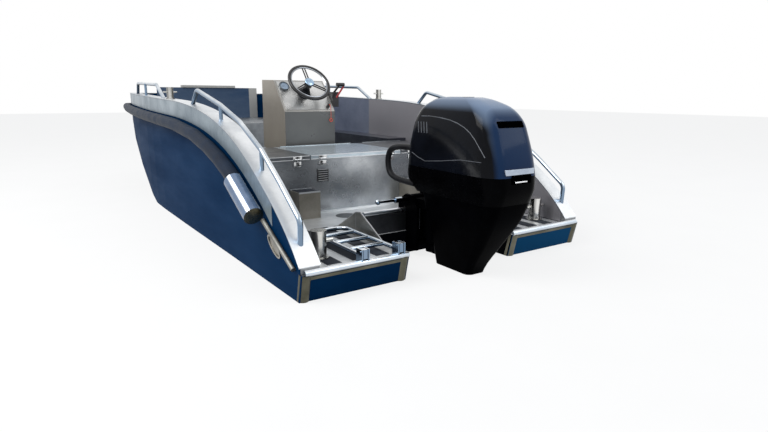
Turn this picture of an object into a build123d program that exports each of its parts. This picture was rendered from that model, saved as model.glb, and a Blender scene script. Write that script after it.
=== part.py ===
from build123d import *
from math import cos, radians, sin
import os

# An open aluminium workboat: decked hull with a pod each side of the motor well,
# double bulwarks, transverse locker, centre console and one outboard motor.
# Frame: millimetres, X to starboard, Y forward, Z up; Z = 0 is the waterline and
# Y = 0 the aft top edge of the stern pods.

os.makedirs("parts", exist_ok=True)

# Driving sizes
LENGTH = 5000.0
SOLE_Z = 155.0
PLATE = 5.0
WALL = 110.0
CAP = 6.0
WELL_HALF = 408.0
WELL_FRONT = 460.0
FOREDECK_Y = 3500.0
FOREDECK_Z = 700.0
PANEL_Y = 4916.0
BENCH_AFT = 1220.0
BENCH_FWD = 1930.0
BENCH_Z = 580.0
SIDE_BENCH_Z = 610.0
CONSOLE_HALF = 238.0
STEER_Y = 295.0
TILT_Y = 440.0
TILT_Z = 365.0
PROP_Z = -425.0

# station Y, half breadth, chine Z, keel Z
STATIONS = [
    (0, 1060, -60, -260),
    (1000, 1073, -60, -270),
    (2000, 1091, -60, -275),
    (2700, 1100, -55, -275),
    (3000, 1099, -25, -230),
    (3300, 1090, 50, -100),
    (3900, 1055, 278, 170),
    (4500, 1000, 508, 430),
    (5000, 930, 700, 650),
]

# sheer line: Y, Z of the cap's upper face
SHEER = [
    (20, 188),
    (210, 372),
    (450, 535),
    (750, 699),
    (1100, 825),
    (1500, 905),
    (2000, 952),
    (2600, 972),
    (3300, 990),
    (4200, 1008),
    (5000, 1020),
]


def along(table, y, col=1):
    last = table[0]
    for row in table:
        if row[0] >= y:
            if row[0] == last[0]:
                return float(row[col])
            t = (y - last[0]) / (row[0] - last[0])
            return last[col] + t * (row[col] - last[col])
        last = row
    return float(last[col])


def beam(y):
    return along(STATIONS, y, 1)


def block(x0, x1, y0, y1, z0, z1):
    return Pos((x0 + x1) / 2, (y0 + y1) / 2, (z0 + z1) / 2) * Box(x1 - x0, y1 - y0, z1 - z0)


def side_prism(points, x0, x1):
    """Closed outline of (Y, Z) pairs extruded from x0 to x1."""
    wire = Polyline(*[(x0, p[0], p[1]) for p in points], close=True)
    return extrude(make_face(wire), amount=x1 - x0, dir=(1, 0, 0))


def plan_prism(points, z0, z1):
    """Closed outline of (X, Y) pairs extruded from z0 to z1."""
    wire = Polyline(*[(p[0], p[1], z0) for p in points], close=True)
    return extrude(make_face(wire), amount=z1 - z0, dir=(0, 0, 1))


def rod(a, b, r):
    a = Vector(*a)
    b = Vector(*b)
    axis = b - a
    return Plane(origin=a, z_dir=axis) * Cylinder(r, axis.length,
                                                  align=(Align.CENTER, Align.CENTER, Align.MIN))


def pipe(points, r, bend):
    """Round pipe along a polyline whose corners are bent to a radius."""
    pts = [Vector(*p) for p in points]
    edges = []
    start = pts[0]
    for i in range(1, len(pts) - 1):
        u = (pts[i - 1] - pts[i]).normalized()
        v = (pts[i + 1] - pts[i]).normalized()
        half = u.get_angle(v) / 2
        if half > 88:
            edges.append(Line(start, pts[i]))
            start = pts[i]
            continue
        cut = bend / (sin(radians(half)) / cos(radians(half)))
        a = pts[i] + u * cut
        b = pts[i] + v * cut
        mid_dir = (u + v).normalized()
        m = pts[i] + mid_dir * (bend / sin(radians(half)) - bend)
        edges.append(Line(start, a))
        edges.append(ThreePointArc(a, m, b))
        start = b
    edges.append(Line(start, pts[-1]))
    wire = Wire(edges)
    first = (wire % 0)
    ring = Plane(origin=wire @ 0, z_dir=first) * Circle(r)
    return sweep(ring, path=wire, transition=Transition.ROUND)


def both(shape):
    """A solid and its twin on the other side of the centreline."""
    return [shape, mirror(shape, about=Plane.YZ)]


def save(node, shapes):
    if not isinstance(shapes, (list, tuple)):
        shapes = [shapes]
    solids = []
    for shape in shapes:
        solids.extend(shape.solids())
    body = solids[0] if len(solids) == 1 else Compound(children=solids)
    export_step(body, "parts/" + node + ".step")


def plan_band(outer, inner, y0, y1, side=-1):
    """Strip along one side between two offsets inboard of the hull's breadth."""
    ys = [y0] + [row[0] for row in STATIONS if y0 < row[0] < y1] + [y1]
    out = [(side * (beam(y) - outer), y) for y in ys]
    back = [(side * (beam(y) - inner), y) for y in reversed(ys)]
    return out + back


def under_sheer(drop, depth, y0, y1, x0, x1):
    """Band of the side view from drop to depth below the sheer line."""
    pts = [(y0, along(SHEER, y0))]
    pts += [(row[0], row[1]) for row in SHEER if y0 < row[0] < y1]
    pts.append((y1, along(SHEER, y1)))
    top = Spline(*[(x0, p[0], p[1] - drop) for p in pts])
    low = Spline(*[(x0, p[0], p[1] - depth) for p in pts])
    ends = [Line(top @ 1, low @ 1), Line(low @ 0, top @ 0)]
    face = make_face(Wire([top, ends[0], low, ends[1]]))
    return extrude(face, amount=x1 - x0, dir=(1, 0, 0))


def below_sheer(drop, floor, y0, y1, x0, x1):
    """Side view from a level floor up to the sheer line."""
    pts = [(y0, along(SHEER, y0))]
    pts += [(row[0], row[1]) for row in SHEER if y0 < row[0] < y1]
    pts.append((y1, along(SHEER, y1)))
    top = Spline(*[(x0, p[0], p[1] - drop) for p in pts])
    a = top @ 1
    b = top @ 0
    c = (x0, y1, floor)
    d = (x0, y0, floor)
    face = make_face(Wire([top, Line(a, c), Line(c, d), Line(d, b)]))
    return extrude(face, amount=x1 - x0, dir=(1, 0, 0))


# Hull
# Welded plate hull: shallow V bottom, flat sides, raked flat bow and a deck;
# the spaces under the deck are closed, so the hull is one block.

def section(y, half, chine, keel):
    pts = [(0, y, keel), (half, y, chine), (half, y, 1200), (-half, y, 1200), (-half, y, chine)]
    return make_face(Polyline(*pts, close=True))


hull = loft([section(*row) for row in STATIONS], ruled=True)
hull &= below_sheer(CAP, -400, 20, 5000, -1300, 1300) + block(-1300, 1300, -5, 21, -400, SOLE_Z - PLATE)
ys = [-50] + [row[0] for row in STATIONS if row[0] < 4940] + [4940]
cockpit = [(beam(max(y, 0)) - WALL, y) for y in ys]
cockpit += [(-(beam(max(y, 0)) - WALL), y) for y in reversed(ys)]
hull -= plan_prism(cockpit, SOLE_Z - PLATE, 1300) - block(
    -1200, 1200, FOREDECK_Y, LENGTH, 0, FOREDECK_Z - PLATE)
hull -= block(-WELL_HALF, WELL_HALF, -200, WELL_FRONT, -500, 1300)
hull -= side_prism([(-200, -400), (-200, SOLE_Z + 60), (-13, SOLE_Z + 60), (0, SOLE_Z), (125, -400)],
                   -1300, 1300)

# rounded tube along each pod's aft top edge
pod_tube = rod((-1040, 8, SOLE_Z + 1), (-WELL_HALF - 4, 8, SOLE_Z + 1), 17)
pod_tubes = both(pod_tube)
hull -= pod_tubes[0]
hull -= pod_tubes[1]
save("pod_edge_tubes", pod_tubes)

# almond shaped drain scoops pressed into the sides, each with a bare rim
SCOOP_Y = 315.0
SCOOP_Z = 228.0
scoop_at = Pos(-beam(SCOOP_Y), SCOOP_Y, SCOOP_Z) * Rot(0, 90, 0) * Rot(0, 0, 28)
pocket = scoop_at * extrude(Ellipse(26, 78), 14, both=True)
for side_cut in both(pocket):
    hull -= side_cut
rim = scoop_at * extrude(Ellipse(34, 90), 6, both=True) - pocket
rim -= hull
save("drain_scoops", both(rim.solids().sort_by(SortBy.VOLUME)[-1]))
save("hull", hull)

# cockpit sole and pod decks, one sheet cut out round the motor well
sole = plan_prism(cockpit, SOLE_Z - PLATE, SOLE_Z)
sole -= block(-WELL_HALF, WELL_HALF, -200, WELL_FRONT, 0, 400)
sole -= block(-1300, 1300, -200, 0, 0, 400)
sole -= block(-1300, 1300, FOREDECK_Y - PLATE, LENGTH, 0, 400)
sole -= pod_tubes[0]
sole -= pod_tubes[1]
save("sole_plate", sole)

# raised foredeck with its bulkhead
fore = plan_prism(cockpit, FOREDECK_Z - PLATE, FOREDECK_Z)
fore &= block(-1200, 1200, FOREDECK_Y - PLATE, PANEL_Y, 0, 1200)
bulk = plan_prism(cockpit, SOLE_Z, FOREDECK_Z)
bulk &= block(-1200, 1200, FOREDECK_Y - PLATE, FOREDECK_Y, 0, 1200)

# inner faces of the bulwarks
lining = plan_prism(plan_band(WALL, WALL + 4, 60, 4940), SOLE_Z, 1200)
lining &= below_sheer(CAP, SOLE_Z, 60, 4940, -1300, 0)
lining -= block(-1200, 0, FOREDECK_Y - PLATE, LENGTH, 0, FOREDECK_Z - PLATE)
foredeck = fore + bulk
for side_lining in both(lining):
    foredeck -= side_lining
save("foredeck_plate", foredeck)

# flat caps along both sides and across the bow
cap = plan_prism(plan_band(-4, WALL + 6, 20, 5000), 0, 1300)
cap &= under_sheer(0, CAP, 20, 5000, -1300, 0)
cap -= hull
caps = both(cap)
save("gunwale_caps", caps)
lining -= cap
save("bulwark_linings", both(lining))

bow_cap = block(-850, 850, 4932, 5004, 1014, 1020) - caps[0] - caps[1]
bow_cap -= hull
save("bow_cap", bow_cap.solids().sort_by(SortBy.VOLUME)[-1])

# bare strip of plate between cap and fender
strip = plan_prism(plan_band(-3, 0, 330, 4990), 0, 1300)
strip &= under_sheer(CAP + 0.5, 120, 330, 4990, -1300, 0)
strip -= cap
save("sheer_strips", both(strip))

# fender: fat rubber tube along both sides and round the bow
FEND_R = 44.0


def fender_z(y):
    return along(SHEER, y) - 165.0


def round_bar(points, r, first, last):
    """Round bar through a row of points; first and last are its end directions."""
    pts = [Vector(*p) for p in points]
    rings = []
    for i, p in enumerate(pts):
        if i == 0:
            way = Vector(*first)
        elif i == len(pts) - 1:
            way = Vector(*last)
        else:
            way = (pts[i + 1] - p).normalized() + (p - pts[i - 1]).normalized()
        across = way.cross(Vector(0, 0, 1))
        rings.append(Plane(origin=p, x_dir=across, z_dir=way) * Circle(r))
    return loft(rings, ruled=True)


# polished cylinders that close the fender's aft ends
END_R = 55.0
TOUCH = 0.3
end_a = (-(beam(450) + END_R + TOUCH), 450, 372)
end_b = (-(beam(740) + END_R + TOUCH), 740, 525)
end_way = (end_b[0] - end_a[0], end_b[1] - end_a[1], end_b[2] - end_a[2])
save("fender_ends", both(rod(end_a, end_b, END_R)))

FEND_OUT = FEND_R + 0.8
BEND_OUT = FEND_OUT + 3
bow_y = LENGTH + FEND_OUT
bow_z = fender_z(5000)
fend_pts = [(-(beam(741) + FEND_OUT), 741, 525)]
for y in (850, 1000, 1200, 1500, 2000, 2350, 2700, 3000, 3300, 3900, 4500, 4900):
    fend_pts.append((-(beam(y) + FEND_OUT), y, fender_z(y)))
for turn in (170, 150, 130, 110, 92):
    fend_pts.append((-beam(LENGTH) + BEND_OUT * cos(radians(turn)),
                     LENGTH + BEND_OUT * sin(radians(turn)), bow_z))
fend_pts += [(-840, bow_y, bow_z), (0, bow_y, bow_z)]
save("fender", both(round_bar(fend_pts, FEND_R, end_way, (1, 0, 0))))

# narrow rubbing bars from the fender's end to the stern
RUB_R = 13.0
rub = rod((-(beam(425) + RUB_R + TOUCH), 425, 350), (-(beam(62) + RUB_R + TOUCH), 62, 170), RUB_R)
save("rubbing_bars", both(rub))

# inner bow panel with a raised step strip
panel = block(-640, 640, PANEL_Y, PANEL_Y + 12, FOREDECK_Z - PLATE, 1090)
panel += block(-340, 340, PANEL_Y - 16, PANEL_Y + 60, 1090, 1118)
save("bow_panel", panel)

# Motor well
transom = block(-WELL_HALF, WELL_HALF, WELL_FRONT, WELL_FRONT + 45, SOLE_Z, 275)
transom_tube = rod((-WELL_HALF, 482, 286), (WELL_HALF, 482, 286), 17)
save("transom", transom - transom_tube)
save("transom_tube", transom_tube)
gusset = side_prism([(230, SOLE_Z), (790, SOLE_Z), (560, 292), (505, 300)], -WELL_HALF - 8, -WELL_HALF)
gusset += block(-WELL_HALF - 40, -WELL_HALF - 2, 230, 790, SOLE_Z, SOLE_Z + 4)
save("well_gussets", both(gusset))

# Lockers
bench_half = beam(BENCH_AFT) - WALL - 10
bench = block(-bench_half, bench_half, BENCH_AFT, BENCH_FWD, SOLE_Z, BENCH_Z)
bench -= block(-bench_half + 4, bench_half - 4, BENCH_AFT + 4, BENCH_FWD - 4, SOLE_Z + 4, BENCH_Z - 4)
for x0, x1 in ((-915, -425), (-370, 370), (425, 915)):
    bench -= block(x0, x1, BENCH_AFT + 40, BENCH_FWD - 90, BENCH_Z - 10, BENCH_Z + 10)
save("locker_bench", bench)

LID_AFT = BENCH_AFT - 8
LID_HINGE = BENCH_FWD - 30


def lid(x0, x1):
    plate = block(x0, x1, LID_AFT, LID_HINGE - 8, BENCH_Z + 0.3, BENCH_Z + 7)
    plate += block(x0, x1, LID_AFT, LID_AFT + 4, BENCH_Z - 24, BENCH_Z + 7)
    barrel = rod((x0 + 60, LID_HINGE, BENCH_Z + 7), (x1 - 60, LID_HINGE, BENCH_Z + 7), 6)
    leaf = block(x0 + 60, x1 - 60, LID_HINGE - 10, LID_HINGE, BENCH_Z + 3, BENCH_Z + 7)
    return plate + barrel + leaf


save("port_lid", lid(-945, -402))
save("centre_lid", lid(-396, 396))
save("starboard_lid", lid(402, 945))

step = block(-560, -335, 1075, BENCH_AFT, SOLE_Z, 345)
step -= block(-556, -339, 1079, BENCH_AFT - 4, SOLE_Z + 4, 341)
save("step_boxes", both(step))

vent = block(-345, -255, BENCH_AFT - 6, BENCH_AFT, 390, 480)
for i in range(5):
    vent -= Pos(-300, BENCH_AFT - 6, 403 + i * 16) * Rot(35, 0, 0) * Box(74, 8, 5)
save("locker_vent", vent)

side_in = 770.0
ys = [BENCH_FWD + 4, 2000, 2700, 3000, 3300, 3400]
shape = [(-side_in, y) for y in (ys[0], ys[-1])]
shape += [(-(beam(y) - WALL - 6), y) for y in reversed(ys)]
side_bench = plan_prism(shape, SOLE_Z, SIDE_BENCH_Z)
shape = [(-side_in - 4, y) for y in (ys[0] + 4, ys[-1] - 4)]
shape += [(-(beam(y) - WALL - 10), y) for y in (ys[-1] - 4, 3300, 3000, 2700, 2000, ys[0] + 4)]
side_bench -= plan_prism(shape, SOLE_Z + 4, SIDE_BENCH_Z - 4)
save("side_benches", both(side_bench))

# Console
outline = [(2000, SOLE_Z), (2000, 868), (2222, 1132), (2480, 1138), (2505, SOLE_Z)]
inner = [(2004, SOLE_Z + 4), (2004, 865), (2224, 1127), (2476, 1133), (2500, SOLE_Z + 4)]
console = side_prism(outline, -CONSOLE_HALF, CONSOLE_HALF)
console -= side_prism(inner, -CONSOLE_HALF + 4, CONSOLE_HALF - 4)
save("console", console)

DASH_LOW = Vector(0, 2000, 868)
DASH_TOP = Vector(0, 2222, 1132)
DASH_UP = (DASH_TOP - DASH_LOW).normalized()
DASH = Vector(0, -DASH_UP.Z, DASH_UP.Y)
DASH_MID = (DASH_LOW + DASH_TOP) * 0.5


def on_dash(x, up, out=0.0):
    return Vector(x, 0, 0) + DASH_MID + DASH_UP * up + DASH * out


dash = Plane(origin=on_dash(0, 0), x_dir=(1, 0, 0), z_dir=DASH) * extrude(Rectangle(440, 310), 5)
save("dash_panel", dash)

gauge = Plane(origin=on_dash(-165, 95, 5), z_dir=DASH) * Cylinder(
    46, 14, align=(Align.CENTER, Align.CENTER, Align.MIN))
gauge -= Plane(origin=on_dash(-165, 95, 14), z_dir=DASH) * Cylinder(
    39, 10, align=(Align.CENTER, Align.CENTER, Align.MIN))
save("gauge", gauge)

column = Plane(origin=on_dash(0, 20, 5), z_dir=DASH) * Cone(
    62, 34, 60, align=(Align.CENTER, Align.CENTER, Align.MIN))
column += Plane(origin=on_dash(0, 20, 60), z_dir=DASH) * Cylinder(
    24, 50, align=(Align.CENTER, Align.CENTER, Align.MIN))
save("steering_column", column)

WHEEL_R = 176.0
wheel_at = on_dash(0, 20, 150)
rim_plane = Plane(origin=wheel_at, x_dir=(1, 0, 0), z_dir=DASH)
wheel = Torus(WHEEL_R, 14)
hub = Pos(0, 0, -39.7) * Cylinder(34, 50, align=(Align.CENTER, Align.CENTER, Align.MIN))
spokes = hub
for a in (90, 210, 330):
    for d in (-11, 11):
        spokes += Rot(0, 0, a) * Pos(18, d, -6) * Box(WHEEL_R - 24, 9, 7,
                                                     align=(Align.MIN, Align.CENTER, Align.CENTER))
save("steering_wheel", rim_plane * (wheel + spokes))

# throttle box on the starboard side of the dash with its lever
box = block(CONSOLE_HALF, CONSOLE_HALF + 62, 2035, 2165, 905, 1035)
save("throttle_box", box)
lever = rod((CONSOLE_HALF + 44, 2090, 1030), (CONSOLE_HALF + 52, 1995, 1098), 9)
lever += rod((CONSOLE_HALF + 18, 1990, 1098), (CONSOLE_HALF + 92, 1990, 1098), 16)
save("throttle_lever", lever - box)

kill = Plane(origin=on_dash(185, -125, 5), z_dir=DASH) * Cylinder(
    14, 26, align=(Align.CENTER, Align.CENTER, Align.MIN))
save("stop_switch", kill)

# short lanyard that hangs from the stop switch, with its ring
tip = on_dash(185, -125, 31)
out = tip + DASH * 14
cord_pts = [tip, out, (188, out.Y - 13, out.Z - 22), (190, out.Y - 15, out.Z - 55),
            (193, out.Y - 12, out.Z - 90), (194, out.Y - 10, out.Z - 125)]
runs = [(Vector(*b) - Vector(*a)).length for a, b in zip(cord_pts, cord_pts[1:])]
radii = []
for i in range(1, len(cord_pts) - 1):
    u = Vector(*cord_pts[i]) - Vector(*cord_pts[i - 1])
    v = Vector(*cord_pts[i + 1]) - Vector(*cord_pts[i])
    turn = radians(u.get_angle(v))
    radii.append(0.45 * min(runs[i - 1], runs[i]) / (sin(turn / 2) / cos(turn / 2)))
cord_path = FilletPolyline(*cord_pts, radius=radii)
lanyard = sweep(Plane(origin=cord_path @ 0, z_dir=cord_path % 0) * Circle(2), path=cord_path)
save("stop_lanyard", lanyard)
ring_at = Vector(*cord_pts[-1]) + Vector(0, 0, -16.3)
save("lanyard_ring", Plane(origin=ring_at, z_dir=(0, 1, 0)) * Torus(13, 3.2))

# Deck fittings


def on_hull(shape):
    """Both copies of a fitting, cut flush with the cap and the hull under it."""
    shape = shape - cap
    return both(shape - hull)


def bollard(x, y, z, r, h, pin):
    post = Pos(x, y, z) * Cylinder(r, h, align=(Align.CENTER, Align.CENTER, Align.MIN))
    post += Pos(x, y, z) * Cylinder(r * 1.35, 8, align=(Align.CENTER, Align.CENTER, Align.MIN))
    post += Pos(x, y, z + h) * Cylinder(r * 1.06, 5, align=(Align.CENTER, Align.CENTER, Align.MIN))
    post += rod((x - pin, y, z + h * 0.62), (x + pin, y, z + h * 0.62), r * 0.26)
    return post


save("stern_bollards", both(bollard(-855, 215, SOLE_Z, 42, 150, 84)))
save("midship_bollards", on_hull(bollard(-1035, 2500, along(SHEER, 2500) - 1, 27, 92, 55)))

RAIL_R = 15.0


def on_cap(y, z, inset=52):
    return (-(beam(y) - inset), y, z)


rail = pipe([on_cap(112, 262), on_cap(104, 400), on_cap(330, 560), on_cap(568, 712),
             on_cap(880, 850), on_cap(1215, 943), on_cap(1700, 1038), on_cap(1835, 925)], RAIL_R, 60)
rail += rod(on_cap(568, 585), on_cap(568, 712), 12)
rail += rod(on_cap(1215, 840), on_cap(1215, 943), 12)
save("aft_rails", on_hull(rail))

rail = pipe([on_cap(2670, 965), on_cap(2930, 1090), on_cap(4180, 1120), on_cap(4300, 1000)], RAIL_R, 60)
rail += rod(on_cap(3550, 985), on_cap(3550, 1105), 12)
save("forward_rails", on_hull(rail))

# boarding ladder folded on the port pod, hinged at the aft edge
LADDER_X = (-695.0, -465.0)
HINGE_Y = 8.0
HINGE_Z = 216.0
lugs = []
for x in LADDER_X:
    for dx in (-24, 16):
        lug = block(x + dx, x + dx + 8, -6, 52, SOLE_Z - 10, HINGE_Z + 14) - pod_tube
        lug -= block(x - 60, x + 60, 0, 200, 0, SOLE_Z)
        lug -= block(x - 60, x + 60, -60, 8, 0, SOLE_Z + 6)
        lugs.append(lug)
pins = [rod((x - 28, HINGE_Y, HINGE_Z), (x + 28, HINGE_Y, HINGE_Z), 5) for x in LADDER_X]
save("ladder_lugs", [lugs[0] + lugs[1] + pins[0], lugs[2] + lugs[3] + pins[1]])

tube_z = HINGE_Z - 28
ladder = pipe([(LADDER_X[0], 28, tube_z), (LADDER_X[0], 620, tube_z),
               (LADDER_X[1], 620, tube_z), (LADDER_X[1], 28, tube_z)], 13, 60)
for y in (170, 330, 490):
    ladder += rod((LADDER_X[0], y, tube_z), (LADDER_X[1], y, tube_z), 12)
for x in LADDER_X:
    ladder += block(x - 12, x + 12, -4, 34, tube_z - 10, HINGE_Z + 12)
    ladder -= rod((x - 30, HINGE_Y, HINGE_Z), (x + 30, HINGE_Y, HINGE_Z), 5.6)
save("boarding_ladder", ladder)

# Outboard motor
# clamp bracket hooked over the transom, with the tilt tube
plate = [(346, 40), (346, 320), (400, 392), (470, 392), (545, 340), (545, 190),
         (WELL_FRONT + 45, 190), (WELL_FRONT + 45, 306), (WELL_FRONT, 306), (WELL_FRONT, 40)]
clamp = side_prism(plate, -96, -76) + side_prism(plate, 76, 96)
clamp += rod((-150, TILT_Y, TILT_Z), (150, TILT_Y, TILT_Z), 14)
clamp += block(-96, 96, 420, WELL_FRONT, 48, 78)
save("clamp_bracket", clamp)

ram = rod((-320, TILT_Y, TILT_Z), (-150, TILT_Y, TILT_Z), 9)
ram += Pos(-328, TILT_Y, TILT_Z) * Sphere(17)
ram += rod((-200, TILT_Y, TILT_Z), (-150, TILT_Y, TILT_Z), 18)
save("steering_ram", ram)

# swivel bracket: sleeve round the steering axis, carried on the tilt tube
swivel = rod((0, STEER_Y, 92), (0, STEER_Y, 372), 44)
swivel += block(-66, 66, STEER_Y, TILT_Y, 312, 372)
swivel += block(-30, 30, STEER_Y, 396, 120, 330)
swivel += rod((-66, TILT_Y, TILT_Z), (66, TILT_Y, TILT_Z), 27)
swivel -= rod((-80, TILT_Y, TILT_Z), (80, TILT_Y, TILT_Z), 14.6)
swivel -= rod((0, STEER_Y, 80), (0, STEER_Y, 400), 20.6)
save("swivel_bracket", swivel)

# midsection: apron, leg, anti-ventilation plate, gearcase and skeg
# level Z, aft Y, front Y, half width, corner radius
LEG = [
    (450, -365, 245, 165, 80),
    (330, -300, 225, 135, 60),
    (180, -195, 205, 95, 50),
    (20, -100, 190, 66, 40),
    (-150, -85, 175, 44, 30),
    (-235, -95, 170, 40, 30),
]


def rounded(z, aft, front, half, r):
    plane = Plane(origin=(0, (aft + front) / 2, z), x_dir=(1, 0, 0), z_dir=(0, 0, 1))
    return plane * RectangleRounded(2 * half, front - aft, r)


leg = loft([rounded(*row) for row in LEG], ruled=True)
leg += loft([rounded(-234, -95, 170, 38, 30), rounded(-400, -150, 180, 30, 24)], ruled=True)
plate_av = plan_prism([(-30, 200), (-95, 90), (-115, -230), (-60, -300), (60, -300), (115, -230),
                       (95, 90), (30, 200)], -242, -232)
leg += plate_av
torpedo = rod((0, 200, PROP_Z), (0, -195, PROP_Z), 55)
torpedo += Pos(0, 200, PROP_Z) * Sphere(55)
leg += torpedo
leg += side_prism([(110, PROP_Z - 30), (-130, PROP_Z - 30), (-150, PROP_Z - 190), (-40, PROP_Z - 200)],
                  -7, 7)
leg += rod((0, STEER_Y, 40), (0, STEER_Y, 84), 46) + block(-40, 40, 170, STEER_Y, 40, 84)
leg += rod((0, STEER_Y, 380), (0, STEER_Y, 424), 46) + block(-46, 46, 180, STEER_Y, 380, 424)
leg += rod((0, STEER_Y, 60), (0, STEER_Y, 400), 20)
leg += block(-22, 22, STEER_Y + 20, STEER_Y + 118, 400, 416)
save("midsection", leg)

# propeller on its shaft
hub = rod((0, -195.3, PROP_Z), (0, -300, PROP_Z), 48)
blade = Pos(0, 0, 105) * Rot(0, 0, 24) * Box(110, 9, 128)
prop = hub
for a in (0, 120, 240):
    prop += Pos(0, -250, PROP_Z) * Rot(0, a, 0) * blade
save("propeller", prop)

# lower cowl round the powerhead's foot; upper cowl closes the top
LOWER = [
    (450, -368, 262, 168, 85),
    (520, -402, 300, 182, 95),
    (600, -416, 312, 190, 100),
]
UPPER = [
    (600, -416, 312, 190, 100),
    (700, -422, 322, 193, 105),
    (800, -412, 318, 190, 105),
    (880, -385, 296, 178, 100),
    (945, -320, 250, 150, 90),
    (985, -225, 170, 105, 70),
    (1004, -120, 80, 60, 40),
]
lower_skin = loft([rounded(*row) for row in LOWER], ruled=False)
lower = lower_skin - loft([rounded(z + (8 if z < 460 else 0), a + 10, f - 10, h - 10, r - 10)
               for z, a, f, h, r in LOWER[:1]] +
              [rounded(z + (1 if z > 590 else 0), a + 10, f - 10, h - 10, r - 10)
               for z, a, f, h, r in LOWER[1:]], ruled=False)
save("lower_cowl", lower)
upper_skin = loft([rounded(*row) for row in UPPER], ruled=False)
upper = upper_skin
latch = Pos(0, -418, 632) * Box(150, 28, 26) - upper
save("cowl_latch", latch)
upper -= loft([rounded(z - (1 if z < 610 else 8 if z > 1000 else 0), a + 10, f - 10, h - 10, r - 10)
               for z, a, f, h, r in UPPER], ruled=False)
save("upper_cowl", upper)

# rigging hose: one stiff loop from the upper cowl to the lower cowl's front
hose_path = FilletPolyline((-70, 316, 712), (-70, 505, 704), (-70, 505, 545), (-70, 296, 532), radius=[68, 68])
hose = sweep(Plane(origin=hose_path @ 0, z_dir=hose_path % 0) * Circle(19), path=hose_path)
hose -= upper_skin
hose -= lower_skin
save("rigging_hose", hose)

powerhead = block(-120, 120, -330, 220, 458, 890)
save("powerhead", powerhead)
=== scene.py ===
import math

import bmesh
import bpy
from mathutils import Matrix, Vector
from mathutils.bvhtree import BVHTree


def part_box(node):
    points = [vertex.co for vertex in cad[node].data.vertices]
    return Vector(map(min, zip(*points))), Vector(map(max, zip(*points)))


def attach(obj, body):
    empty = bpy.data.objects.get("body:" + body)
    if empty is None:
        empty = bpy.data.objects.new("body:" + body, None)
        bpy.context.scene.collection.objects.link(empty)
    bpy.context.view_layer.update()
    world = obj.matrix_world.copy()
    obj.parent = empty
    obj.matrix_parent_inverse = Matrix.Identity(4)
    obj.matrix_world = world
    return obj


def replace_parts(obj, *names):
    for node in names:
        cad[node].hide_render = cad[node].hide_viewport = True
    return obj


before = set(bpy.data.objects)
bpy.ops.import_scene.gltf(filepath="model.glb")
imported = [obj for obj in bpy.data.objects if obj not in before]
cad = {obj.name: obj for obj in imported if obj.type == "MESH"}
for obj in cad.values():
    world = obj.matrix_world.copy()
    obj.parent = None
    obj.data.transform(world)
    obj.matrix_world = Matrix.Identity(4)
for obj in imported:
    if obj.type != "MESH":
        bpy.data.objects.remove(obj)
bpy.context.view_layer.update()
scene = bpy.context.scene
scene.view_settings.view_transform = "Standard"

# Camera
# A small camera held at standing height over the water off the port quarter.
# It looks forward across the stern, a little down and level to a third of a degree.
CAMERA_AT = Vector((-2.1150, -2.2696, 1.0129))
CAMERA_LOOK = Vector((0.54667, 0.80778, -0.22056))
CAMERA_RIGHT = Vector((0.82887, -0.55941, 0.00558))
CAMERA_UP = Vector((0.11887, 0.18587, 0.97536))
SENSOR_MM = 36.0
LENS_MM = 25.13

camera_data = bpy.data.cameras.new("camera")
camera_data.sensor_width = SENSOR_MM
camera_data.lens = LENS_MM
camera_data.clip_start = 0.05
camera = bpy.data.objects.new("camera", camera_data)
camera_axes = Matrix((CAMERA_RIGHT, CAMERA_UP, -CAMERA_LOOK)).transposed().to_4x4()
camera.matrix_world = Matrix.Translation(CAMERA_AT) @ camera_axes
scene.collection.objects.link(camera)
scene.camera = camera

# Stop lanyard
# A limp red cord clipped to the stop switch, with a moulded ring at its lower end.
# It hangs straight down from the switch's knob.
LANYARD_THICK = 0.004
LANYARD_ROUTE = [
    (0.185, 2.0068, 0.9243),
    (0.185, 1.9961, 0.9333),
    (0.188, 1.9831, 0.9113),
    (0.190, 1.9811, 0.8783),
    (0.193, 1.9841, 0.8433),
    (0.194, 1.9861, 0.8083),
]


def empty_material(name):
    """A material with nothing in it but its output node."""
    material = bpy.data.materials.new(name)
    material.use_nodes = True
    tree = material.node_tree
    tree.nodes.clear()
    return material, tree, tree.nodes.new("ShaderNodeOutputMaterial")


def feed(tree, socket, value):
    """Join a socket to another node's output, or set it to a plain value."""
    if isinstance(value, bpy.types.NodeSocket):
        tree.links.new(value, socket)
    elif hasattr(value, "__len__") and socket.type == "RGBA":
        socket.default_value = (*value, 1.0)
    else:
        socket.default_value = value


def place(tree, kind, inputs=None, **settings):
    """Add a node, set it up and feed its inputs."""
    made = tree.nodes.new(kind)
    for key, value in settings.items():
        setattr(made, key, value)
    for key, value in (inputs or {}).items():
        feed(tree, made.inputs[key], value)
    return made


def blend_colour(tree, mask, low, high):
    """Colour that goes from low to high with a mask."""
    mix = place(tree, "ShaderNodeMix", data_type="RGBA")
    feed(tree, mix.inputs[0], mask)
    feed(tree, mix.inputs[6], low)
    feed(tree, mix.inputs[7], high)
    return mix.outputs[2]


def blend_value(tree, mask, low, high):
    """Number that goes from low to high with a mask."""
    return place(tree, "ShaderNodeMapRange", {0: mask, 3: low, 4: high}).outputs[0]


def times(tree, value, factor):
    """A mask made weaker or stronger."""
    return place(tree, "ShaderNodeMath", {0: value, 1: factor}, operation="MULTIPLY").outputs[0]


def group_tree(name, inputs, outputs):
    """An empty shader node group with named sockets."""
    group = bpy.data.node_groups.new(name, "ShaderNodeTree")
    for label, kind, value in inputs:
        socket = group.interface.new_socket(label, in_out="INPUT", socket_type=kind)
        socket.default_value = value
    for label, kind in outputs:
        group.interface.new_socket(label, in_out="OUTPUT", socket_type=kind)
    entry = group.nodes.new("NodeGroupInput")
    leave = group.nodes.new("NodeGroupOutput")
    return group, entry, leave


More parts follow.
